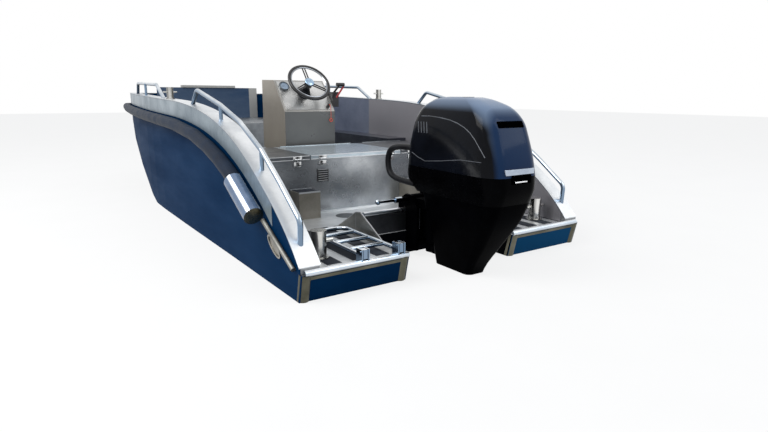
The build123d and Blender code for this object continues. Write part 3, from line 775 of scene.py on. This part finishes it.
bright_steel = bare_plate("bright_steel", (0.50, 0.51, 0.52), (0.88, 0.88, 0.88), (30.0, 30.0, 1.0), 0.16,
                          0.1, 0.1)
for number, (x, body) in enumerate(LATCHES):
    keep = bmesh.new()
    add_box(keep, (x - KEEP_HALF, LID_AFT_Y - 0.004, LID_TOP_Z - 0.030),
            (x + KEEP_HALF, LID_AFT_Y, LID_TOP_Z - 0.004), round_by=0.0015)
    add_rod(keep, (x - LATCH_ROD_HALF, LID_AFT_Y - 0.008, LID_TOP_Z - 0.026),
            (x + LATCH_ROD_HALF, LID_AFT_Y - 0.008, LID_TOP_Z - 0.026), 0.005, 12)
    finish_piece("latch_keep_%d" % number, keep, bright_steel, body)
    catch = bmesh.new()
    add_box(catch, (x - CATCH_HALF, BENCH_AFT_Y - 0.010, LID_TOP_Z - 0.078),
            (x + CATCH_HALF, BENCH_AFT_Y, LID_TOP_Z - 0.042), round_by=0.002)
    finish_piece("latch_catch_%d" % number, catch, bright_steel)

black_moulding = moulded("black_moulding", (0.006, 0.006, 0.007), (0.020, 0.020, 0.022), 0.42)
dress("locker_vent", black_moulding)

# Side benches
# Folded plate boxes along both bulwarks, left bare and welded to the linings. They
# stand in shade, so they are painted dark against the bright sole as painted shade.
SIDE_SHADE_DARK = (0.055, 0.060, 0.080)
SIDE_SHADE_LIGHT = (0.15, 0.16, 0.19)
side_metal = bare_plate("side_bench_metal", SIDE_SHADE_DARK, SIDE_SHADE_LIGHT, (40.0, 1.2, 40.0), 0.30, size=2.0)
dress("side_benches", side_metal)

# Console
# A folded plate pedestal with an inclined dash. Its faces are bare and brushed, and
# the dash is a lighter sheet screwed on.
PEDESTAL_DULL = (0.22, 0.215, 0.20)
PEDESTAL_BRIGHT = (0.50, 0.485, 0.46)
PEDESTAL_SIDE_SHADE = (0.27, 0.240, 0.195)
PEDESTAL_AFT_SHADE = (0.085, 0.092, 0.095)
# Painted shade: the pedestal's port-facing sides are painted a darker beige and its aft faces dark.
pedestal_metal = bare_plate("console_metal", PEDESTAL_DULL, PEDESTAL_BRIGHT, (30.0, 30.0, 1.2), 0.30, 0.2,
                            0.2, 0.3, 2.2,
                            tints=[((-1.0, 0.0, 0.0), 0.5, 0.9, 1.0, 0.8, PEDESTAL_SIDE_SHADE),
                                   ((0.0, -1.0, 0.0), 0.8, 0.95, 1.0, 0.85, PEDESTAL_AFT_SHADE)])
dress("console", pedestal_metal)
dress("dash_panel", bare_plate("dash_metal", (0.40, 0.41, 0.41), (0.70, 0.70, 0.69), (1.2, 40.0, 40.0), 0.26))

# Gauge
# One round dial to port of the wheel, in a dark metal bezel pushed through the dash.
# It has a blue grey face, black ticks and one black needle.
DASH_UP = Vector((0.0, 0.64361, 0.76537))
DASH_OUT = Vector((0.0, -0.76537, 0.64361))
DASH_MIDDLE = Vector((0.0, 2.111, 1.000))
GAUGE_X = -0.165
GAUGE_UP = 0.095
GAUGE_FACE_R = 0.0385
GAUGE_FACE_OUT = 0.0145
TICK_OUT = 0.0152
TICK_COUNT = 11
TICK_FIRST = 120.0
TICK_STEP = 24.0
TICK_AT = 0.031
TICK_SIZE = Matrix.Diagonal((0.0016, 0.007, 0.0006, 1.0))
NEEDLE_TURN = 96.0
NEEDLE_AT = (0.0, 0.012, 0.0005)
NEEDLE_SIZE = Matrix.Diagonal((0.0014, 0.030, 0.0006, 1.0))


def dash_matrix(x, up, out=0.0):
    """Place on the dash whose Z axis stands out of it and Y axis runs up it."""
    axes = Matrix(((1.0, 0.0, 0.0), tuple(DASH_UP), tuple(DASH_OUT))).transposed().to_4x4()
    spot = Vector((x, 0.0, 0.0)) + DASH_MIDDLE + DASH_UP * up + DASH_OUT * out
    return Matrix.Translation(spot) @ axes


dress("gauge", bare_plate("bezel_metal", (0.05, 0.055, 0.06), (0.22, 0.24, 0.26), (1.0, 1.0, 1.0), 0.2))
face = bmesh.new()
bmesh.ops.create_circle(face, cap_ends=True, segments=48, radius=GAUGE_FACE_R,
                        matrix=dash_matrix(GAUGE_X, GAUGE_UP, GAUGE_FACE_OUT))
dial_blue = moulded("dial_blue", (0.20, 0.27, 0.36), (0.32, 0.40, 0.50), 0.3)
finish_piece("gauge_face", face, dial_blue)
ticks = bmesh.new()
gauge_place = dash_matrix(GAUGE_X, GAUGE_UP, TICK_OUT)
outward = Matrix.Translation((0.0, TICK_AT, 0.0))
for step in range(TICK_COUNT):
    spin = Matrix.Rotation(math.radians(TICK_FIRST - TICK_STEP * step), 4, "Z")
    bmesh.ops.create_cube(ticks, size=1.0, matrix=gauge_place @ spin @ outward @ TICK_SIZE)
spin = Matrix.Rotation(math.radians(NEEDLE_TURN), 4, "Z")
outward = Matrix.Translation(NEEDLE_AT)
bmesh.ops.create_cube(ticks, size=1.0, matrix=gauge_place @ spin @ outward @ NEEDLE_SIZE)
finish_piece("gauge_ticks", ticks, black_moulding)

# Steering wheel and helm
# A moulded black rim on a pressed steel ring that shows inside it, three twin-bar
# spokes and a bright domed cap, on a black rubber boot.
WHEEL_UP = 0.02
WHEEL_OUT = 0.150
WHEEL_RADIUS = 0.176
RIM_THICK = 0.014
BAND_THICK = 0.0065
CAP_RADIUS = 0.042
dress("steering_wheel", moulded("rim_moulding", (0.004, 0.004, 0.005), (0.014, 0.014, 0.016), 0.34))
dress("steering_column", faded_rubber("boot_rubber", (0.006, 0.006, 0.008), (0.022, 0.024, 0.028), 0.6))
wheel_place = dash_matrix(0.0, WHEEL_UP, WHEEL_OUT)
band = bmesh.new()
band_at = Matrix.Translation((WHEEL_RADIUS - RIM_THICK - 0.0015, 0.0, 0.002))
bmesh.ops.create_circle(band, cap_ends=False, segments=10, radius=BAND_THICK,
                        matrix=band_at @ Matrix.Rotation(math.pi / 2, 4, "X"))
bmesh.ops.spin(band, geom=band.verts[:] + band.edges[:], cent=(0.0, 0.0, 0.0), axis=(0.0, 0.0, 1.0),
               angle=math.tau, steps=72, use_merge=True)
bmesh.ops.remove_doubles(band, verts=band.verts, dist=0.00001)
bmesh.ops.transform(band, matrix=wheel_place, verts=band.verts)
band_metal = bare_plate("band_metal", (0.26, 0.28, 0.31), (0.48, 0.50, 0.53), (1.0, 1.0, 1.0), 0.15, 0.1,
                        0.1)
finish_piece("wheel_band", band, band_metal, "helm")
dome = bmesh.new()
dome_shape = Matrix.Translation((0.0, 0.0, 0.008)) @ Matrix.Diagonal((1.0, 1.0, 0.30, 1.0))
bmesh.ops.create_uvsphere(dome, u_segments=32, v_segments=16, radius=CAP_RADIUS,
                          matrix=wheel_place @ dome_shape)
hub_metal = bare_plate("hub_metal", (0.20, 0.32, 0.48), (0.48, 0.62, 0.76), (1.0, 1.0, 1.0), 0.18, 0.1, 0.1,
                       size=30.0)
finish_piece("wheel_cap", dome, hub_metal, "helm")

# Throttle and stop switch
# A black side-mounted control with a T grip and a red neutral lever under it; the
# stop switch is a black knob on the dash.
LEVER_TOP = (0.325, 1.992, 1.082)
LEVER_FOOT = (0.256, 1.998, 0.985)
LEVER_RADIUS = 0.008
for name in ("throttle_box", "throttle_lever", "stop_switch"):
    dress(name, black_moulding)
trigger = bmesh.new()
add_rod(trigger, LEVER_TOP, LEVER_FOOT, LEVER_RADIUS, 12)
lever_red = moulded("lever_red", (0.30, 0.006, 0.012), (0.46, 0.014, 0.022), 0.4)
finish_piece("neutral_lever", trigger, lever_red)

# Bollards and rails
# Bright stainless tube. The bollards stand on flanges with a cross pin; the rails are
# bent from one length and welded to round feet on the caps.
STEEL_SHADE = (0.035, 0.050, 0.070)
STEEL_SKY_REFLECTION = (0.13, 0.22, 0.34)
# Painted light: the tube's sideways faces are painted sky blue as a painted sky reflection, and its downward
# faces dark as painted shade.
tube_steel = bare_plate("tube_steel", (0.40, 0.46, 0.52), (0.78, 0.82, 0.86), (1.0, 1.0, 1.0), 0.13, 0.1,
                        0.12,
                        tints=[((0.0, 0.0, 1.0), 0.75, 0.1, 1.0, 0.85, STEEL_SKY_REFLECTION),
                               ((0.0, 0.0, 1.0), 0.0, -0.6, 1.0, 0.9, STEEL_SHADE)])
for name in ("aft_rails", "forward_rails"):
    dress(name, tube_steel)
# Painted shade: the bollards' starboard-facing and port-facing sides are painted dark, leaving a bright band
# on their aft faces.
post_steel = bare_plate("post_steel", (0.36, 0.36, 0.34), (0.78, 0.77, 0.74), (30.0, 30.0, 1.0), 0.20,
                        0.12, 0.16,
                        tints=[((1.0, -0.3, 0.0), 0.2, 0.75, 1.0, 0.8, (0.09, 0.09, 0.085)),
                               ((-1.0, -0.3, 0.0), 0.75, 1.0, 1.0, 0.7, (0.12, 0.12, 0.115))])
for name in ("stern_bollards", "midship_bollards"):
    dress(name, post_steel)

# Boarding ladder
# Bent stainless tube with three rungs, hinged between lugs at the port pod's edge
# and folded forward on the deck.
for name in ("ladder_lugs", "boarding_ladder"):
    dress(name, tube_steel)

# Motor leg and brackets
# Cast aluminium under deep black enamel with a little dust; the steering cylinder
# is bright steel. A moulded apron closes the leg in under the lower cover.
LEG_DARK = (0.0003, 0.0003, 0.0005)
LEG_LIGHT = (0.0010, 0.0011, 0.0016)
APRON = [
    (-0.140, -0.087, 0.177, 0.046, 0.030),
    (0.020, -0.120, 0.196, 0.075, 0.040),
    (0.180, -0.222, 0.212, 0.105, 0.050),
    (0.330, -0.318, 0.232, 0.141, 0.060),
    (0.449, -0.367, 0.252, 0.166, 0.080),
]


def black_enamel(name, dark, light, roughness, specular=0.3, clear=0.2, tints=()):
    """Black finish with a soft waviness, a little dust and a clear coat."""
    material, tree, output = empty_material(name)
    tone = mottle(tree, size=5.0)
    dust = mottle(tree, size=46.0, low=0.56, high=0.86)
    colour = blend_colour(tree, tone, dark, light)
    colour = blend_colour(tree, times(tree, dust, 0.02), colour, (0.05, 0.055, 0.06))
    for way, start, end, facing, share, tint in tints:
        mask = times(tree, along(tree, way, start, end, facing), share)
        colour = blend_colour(tree, mask, colour, tint)
    gloss = blend_value(tree, dust, roughness, roughness * 1.9)
    coat(tree, output, colour, gloss, height=mottle(tree, size=7.0), bump=0.06, depth=0.004,
         fixed={"Specular IOR Level": specular, "Coat Weight": clear, "Coat Roughness": 0.05})
    return material


leg_enamel = black_enamel("leg_enamel", LEG_DARK, LEG_LIGHT, 0.30, 0.004, 0.0)
for name in ("midsection", "swivel_bracket", "clamp_bracket"):
    dress(name, leg_enamel)
dress("steering_ram", tube_steel)


def blended(rows, parts):
    """Rows of a section table with smooth steps between them."""
    made = []
    last = len(rows) - 1
    for index in range(last):
        around = [rows[max(index - 1, 0)], rows[index], rows[index + 1], rows[min(index + 2, last)]]
        for part in range(parts):
            t = part / parts
            made.append([0.5 * (2 * b + (c - a) * t + (2 * a - 5 * b + 4 * c - d) * t * t
                                + (3 * b - a - 3 * c + d) * t ** 3) for a, b, c, d in zip(*around)])
    made.append(rows[last])
    return made


def add_loft(shape, rows, sides=56):
    """Skin over level rounded rectangles: height, aft, front, half width, corner radius."""
    start = Matrix.Rotation(math.pi / sides, 4, "Z")
    rings = []
    for level, aft, front, half, corner in rows:
        made = bmesh.ops.create_circle(shape, cap_ends=False, segments=sides, radius=corner, matrix=start)
        for vert in made["verts"]:
            vert.co.x += math.copysign(half - corner, vert.co.x)
            vert.co.y += (aft + front) / 2 + math.copysign((front - aft) / 2 - corner, vert.co.y)
            vert.co.z = level
        rings.append(set(made["verts"]))
    loops = []
    for ring in rings:
        loops.append([edge for edge in {edge for vert in ring for edge in vert.link_edges}
                      if edge.verts[0] in ring and edge.verts[1] in ring])
    for low, high in zip(loops, loops[1:]):
        bmesh.ops.bridge_loops(shape, edges=low + high)
    bmesh.ops.edgeloop_fill(shape, edges=loops[0])
    bmesh.ops.edgeloop_fill(shape, edges=loops[-1])


apron = bmesh.new()
add_loft(apron, blended(APRON, 4))
finish_piece("leg_apron", apron, leg_enamel, "motor")

# Propeller
# Cast stainless steel blades on a hub, polished and a little worn. It slides on the
# leg's splined shaft and is held by a nut.
blade_steel = bare_plate("propeller_steel", (0.30, 0.29, 0.27), (0.62, 0.61, 0.58), (8.0, 8.0, 8.0), 0.26)
dress("propeller", blade_steel)

# Motor covers
# Moulded composite covers in deep black lacquer; the upper one is painted sky blue on
# its upward faces as a painted sky reflection and navy on its aft faces. The lower one
# is bolted round the leg, and the upper one, with its carrying hump, lifts off.
COVER_DARK = (0.0010, 0.0014, 0.0026)
COVER_LIGHT = (0.0030, 0.0040, 0.0070)
COVER_SKY_REFLECTION = (0.17, 0.235, 0.35)
COVER_NAVY = (0.004, 0.022, 0.070)
LOWER_COVER = [
    (0.450, -0.368, 0.315, 0.168, 0.085),
    (0.520, -0.392, 0.392, 0.178, 0.095),
    (0.599, -0.390, 0.392, 0.184, 0.100),
]
UPPER_COVER = [
    (0.601, -0.390, 0.392, 0.184, 0.100),
    (0.700, -0.368, 0.386, 0.180, 0.100),
    (0.800, -0.335, 0.364, 0.174, 0.098),
    (0.880, -0.300, 0.338, 0.164, 0.092),
    (0.945, -0.235, 0.300, 0.140, 0.085),
    (0.985, -0.140, 0.240, 0.100, 0.070),
    (1.002, -0.060, 0.160, 0.060, 0.040),
]
CARRY_HUMP = [
    (0.860, 0.060, 0.352, 0.074, 0.045),
    (0.940, 0.050, 0.346, 0.068, 0.045),
    (0.978, 0.020, 0.300, 0.058, 0.045),
    (0.998, 0.000, 0.236, 0.048, 0.040),
    (1.004, -0.010, 0.160, 0.040, 0.035),
]
# Painted light: upward faces of the upper cover are painted sky blue as a painted sky reflection; aft faces
# turn navy.
COVER_TINTS = [
    ((0.0, -0.3, 0.954), 0.42, 1.0, 1.0, 0.95, COVER_SKY_REFLECTION),
    ((0.0, -1.0, 0.25), 0.72, 0.92, 1.0, 0.9, COVER_NAVY),
]
lower_shell = bmesh.new()
add_loft(lower_shell, blended(LOWER_COVER, 5))
lower_enamel = black_enamel("lower_cover_enamel", LEG_DARK, LEG_LIGHT, 0.25, 0.015, 0.005)
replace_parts(finish_piece("lower_shell", lower_shell, lower_enamel, "motor"), "lower_cowl")
upper_shell = bmesh.new()
add_loft(upper_shell, blended(UPPER_COVER, 6))
cover_tree = BVHTree.FromBMesh(upper_shell)
add_loft(upper_shell, blended(CARRY_HUMP, 4), 40)
cover_lacquer = black_enamel("cover_lacquer", COVER_DARK, COVER_LIGHT, 0.12, 0.07, 0.05, COVER_TINTS)
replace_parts(finish_piece("upper_shell", upper_shell, cover_lacquer, "motor"), "upper_cowl")

# Cover trim
# Raised satin beads moulded on both sides of the upper cover: an arch, a sill line
# and four short vents near its front.
COVER_LINES = [
    ("arch", 0.0026, [(0.233, 0.894), (0.160, 0.896), (0.069, 0.891), (-0.020, 0.881), (-0.088, 0.866),
                      (-0.147, 0.845), (-0.190, 0.822), (-0.233, 0.789), (-0.273, 0.746), (-0.307, 0.703)]),
    ("sill", 0.0018, [(0.294, 0.680), (0.234, 0.657), (0.166, 0.640), (0.032, 0.654), (-0.132, 0.676),
                      (-0.290, 0.678)]),
]
COVER_VENT_COUNT = 4
COVER_VENT_FROM = 0.162
COVER_VENT_STEP = 0.026
COVER_VENT_LEAN = 0.014
COVER_VENT_FOOT_Z = 0.800
COVER_VENT_TOP_Z = 0.862
COVER_VENT_RADIUS = 0.0035


def on_cover(side, y, z):
    """The point of the upper cover's side at a place along and a height."""
    return cover_tree.ray_cast(Vector((side, y, z)), Vector((-side, 0.0, 0.0)))[0]


trim_satin = moulded("trim_satin", (0.045, 0.050, 0.060), (0.11, 0.12, 0.14), 0.30)
for name, thick, route in COVER_LINES:
    line = bmesh.new()
    for side in (-1, 1):
        spots = [on_cover(side, y, z) for y, z in route]
        for near, far in zip(spots, spots[1:]):
            add_rod(line, near, far, thick, 8)
    finish_piece("cover_%s_line" % name, line, trim_satin, "motor")
vents = bmesh.new()
for side in (-1, 1):
    for count in range(COVER_VENT_COUNT):
        y = COVER_VENT_FROM + count * COVER_VENT_STEP
        low = on_cover(side, y, COVER_VENT_FOOT_Z)
        high = on_cover(side, y + COVER_VENT_LEAN, COVER_VENT_TOP_Z)
        add_rod(vents, low, high, COVER_VENT_RADIUS, 8)
finish_piece("cover_vents", vents, trim_satin, "motor")

# Air intake and cover latch
# The intake is a slot across the cover's aft face, painted black inside as painted
# shade. Below it a bright bar is the latch, with a small steel pull in a recess where
# the covers meet, also painted black as painted shade.
INTAKE_HALF = 0.094
INTAKE_Z = 0.865
INTAKE_HIGH = 0.040
INTAKE_LEAN = -28.0
LATCH_Z = 0.630
LATCH_HALF = 0.103
LATCH_HIGH = 0.015
PULL_HALF = 0.045
PULL_RADIUS = 0.004


def cover_aft_y(z):
    """Where the upper cover's aft face is at a height."""
    return cover_tree.ray_cast(Vector((0.0, -1.0, z)), Vector((0.0, 1.0, 0.0)))[0].y


intake_y = cover_aft_y(INTAKE_Z)
intake_lean = Matrix.Rotation(math.radians(INTAKE_LEAN), 4, "X")
intake = bmesh.new()
add_box(intake, (-INTAKE_HALF, intake_y - 0.004, INTAKE_Z - INTAKE_HIGH / 2),
        (INTAKE_HALF, intake_y + 0.012, INTAKE_Z + INTAKE_HIGH / 2), intake_lean, 0.007)
# Painted shade: the intake slot and the latch recess are black boxes that stand in for the shade inside them.
shade_black = black_enamel("shade_black", (0.0002, 0.0002, 0.0003), (0.0006, 0.0006, 0.0007), 0.6, 0.0, 0.0)
finish_piece("cover_intake", intake, shade_black, "motor")
latch = bmesh.new()
latch_y = cover_aft_y(LATCH_Z)
add_box(latch, (-LATCH_HALF, latch_y - 0.012, LATCH_Z - LATCH_HIGH),
        (LATCH_HALF, latch_y + 0.02, LATCH_Z + LATCH_HIGH), round_by=0.003)
latch_metal = bare_plate("latch_metal", (0.30, 0.36, 0.46), (0.62, 0.68, 0.76), (30.0, 1.0, 30.0), 0.2)
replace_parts(finish_piece("latch_bar", latch, latch_metal, "motor"), "cowl_latch")
recess = bmesh.new()
add_box(recess, (-0.060, latch_y - 0.013, LATCH_Z - 0.065),
        (0.085, latch_y + 0.03, LATCH_Z - 0.017), round_by=0.006)
finish_piece("latch_recess", recess, shade_black, "motor")
pull = bmesh.new()
pull_y = latch_y - 0.017
pull_z = LATCH_Z - 0.052
add_rod(pull, (-PULL_HALF, pull_y, pull_z), (PULL_HALF, pull_y, pull_z), PULL_RADIUS, 10)
finish_piece("latch_pull", pull, bright_steel, "motor")

# Powerhead
# The engine under the covers: a sand-cast block with the round flywheel housing on
# top of it, bolted to the leg's head. No side shows it while the covers are on.
BLOCK_LOW = (-0.105, -0.240, 0.458)
BLOCK_HIGH = (0.105, 0.190, 0.760)
FLYWHEEL_Y = 0.020
FLYWHEEL_TOP = 0.796
FLYWHEEL_RADIUS = 0.110


def cast_metal():
    """Rough sand-cast metal with an oily tone."""
    material, tree, output = empty_material("cast_metal")
    tone = mottle(tree, size=20.0)
    coat(tree, output, blend_colour(tree, tone, (0.10, 0.10, 0.105), (0.26, 0.26, 0.27)),
         blend_value(tree, tone, 0.62, 0.48), 0.8, height=mottle(tree, size=120.0), bump=0.3)
    return material


engine = bmesh.new()
add_box(engine, BLOCK_LOW, BLOCK_HIGH, round_by=0.01)
add_rod(engine, (0.0, FLYWHEEL_Y, BLOCK_HIGH[2]), (0.0, FLYWHEEL_Y, FLYWHEEL_TOP), FLYWHEEL_RADIUS, 32)
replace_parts(finish_piece("engine_block", engine, cast_metal(), "motor"), "powerhead")

# Rigging hose
# A stiff black rubber sheath round the motor's cables and fuel line. It leaves the
# front of the covers to port and turns back under itself in one wide loop.
HOSE_RADIUS = 0.019
HOSE_ROUTE = [
    (-0.155, 0.300, 0.702),
    (-0.155, 0.470, 0.702),
    (-0.155, 0.590, 0.690),
    (-0.155, 0.590, 0.500),
    (-0.155, 0.470, 0.489),
    (-0.155, 0.290, 0.488),
]
hose = round_curve("engine_hose", HOSE_ROUTE, HOSE_RADIUS, order=4, rings=6, steps=16)
hose.data.materials.append(faded_rubber("hose_rubber", (0.004, 0.004, 0.005), (0.016, 0.017, 0.020), 0.45))
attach(hose, "motor")
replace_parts(hose, "rigging_hose")

# Floor and light
# A pale sheet at the waterline and a white studio: broad soft light from above to
# port, a weaker one from starboard, and an even white surround.
FLOOR_HALF = 30.0
FLOOR_PALE = (0.80, 0.81, 0.82)
FLOOR_PALER = (0.84, 0.85, 0.86)
FLOOR_GLOW = 0.80
AMBIENT = 0.62
LAMPS = [
    ("key", (-5.5, 1.5, 5.5), (0.0, 2.0, 0.4), 5.0, 420.0, (1.0, 0.985, 0.96)),
    ("fill", (4.0, -4.5, 5.5), (0.0, 1.5, 0.4), 5.0, 160.0, (0.93, 0.97, 1.0)),
]

ground = bmesh.new()
bmesh.ops.create_grid(ground, x_segments=1, y_segments=1, size=FLOOR_HALF)
ground_mesh = bpy.data.meshes.new("floor")
ground.to_mesh(ground_mesh)
ground.free()
floor = bpy.data.objects.new("floor", ground_mesh)
scene.collection.objects.link(floor)


def seen_rays(tree):
    """1 for the rays that show the background: straight, mirrored or refracted."""
    light_path = place(tree, "ShaderNodeLightPath")
    some = place(tree, "ShaderNodeMath",
                 {0: light_path.outputs["Is Camera Ray"], 1: light_path.outputs["Is Glossy Ray"]},
                 operation="MAXIMUM")
    every = place(tree, "ShaderNodeMath", {0: some.outputs[0], 1: light_path.outputs["Is Transmission Ray"]},
                  operation="MAXIMUM")
    return every.outputs[0]


def floor_finish():
    """Matt sheet that glows a little where it is seen, so it reads as near white."""
    material, tree, output = empty_material("floor_sheet")
    matt = place(tree, "ShaderNodeBsdfDiffuse",
                 {"Color": blend_colour(tree, mottle(tree, size=2.0), FLOOR_PALE, FLOOR_PALER)})
    glow = place(tree, "ShaderNodeEmission", {"Color": (1.0, 1.0, 1.0), "Strength": 1.0})
    mix = place(tree, "ShaderNodeMixShader", {0: times(tree, seen_rays(tree), FLOOR_GLOW)})
    feed(tree, mix.inputs[1], matt.outputs[0])
    feed(tree, mix.inputs[2], glow.outputs[0])
    feed(tree, output.inputs[0], mix.outputs[0])
    return material


ground_mesh.materials.append(floor_finish())

world = bpy.data.worlds.new("studio")
scene.world = world
world.use_nodes = True
sky_tree = world.node_tree
sky_tree.nodes.clear()
surround = place(sky_tree, "ShaderNodeBackground", {"Color": (0.93, 0.96, 1.0), "Strength": AMBIENT})
backdrop = place(sky_tree, "ShaderNodeBackground", {"Color": (1.0, 1.0, 1.0), "Strength": 1.0})
sky_mix = place(sky_tree, "ShaderNodeMixShader", {0: seen_rays(sky_tree)})
feed(sky_tree, sky_mix.inputs[1], surround.outputs[0])
feed(sky_tree, sky_mix.inputs[2], backdrop.outputs[0])
sky_out = place(sky_tree, "ShaderNodeOutputWorld")
feed(sky_tree, sky_out.inputs[0], sky_mix.outputs[0])

for name, at, aim, size, power, tint in LAMPS:
    lamp_data = bpy.data.lights.new(name, "AREA")
    lamp_data.size = size
    lamp_data.energy = power
    lamp_data.color = tint
    lamp = bpy.data.objects.new(name, lamp_data)
    lamp.location = at
    lamp.rotation_euler = (Vector(aim) - Vector(at)).to_track_quat("-Z", "Y").to_euler()
    scene.collection.objects.link(lamp)
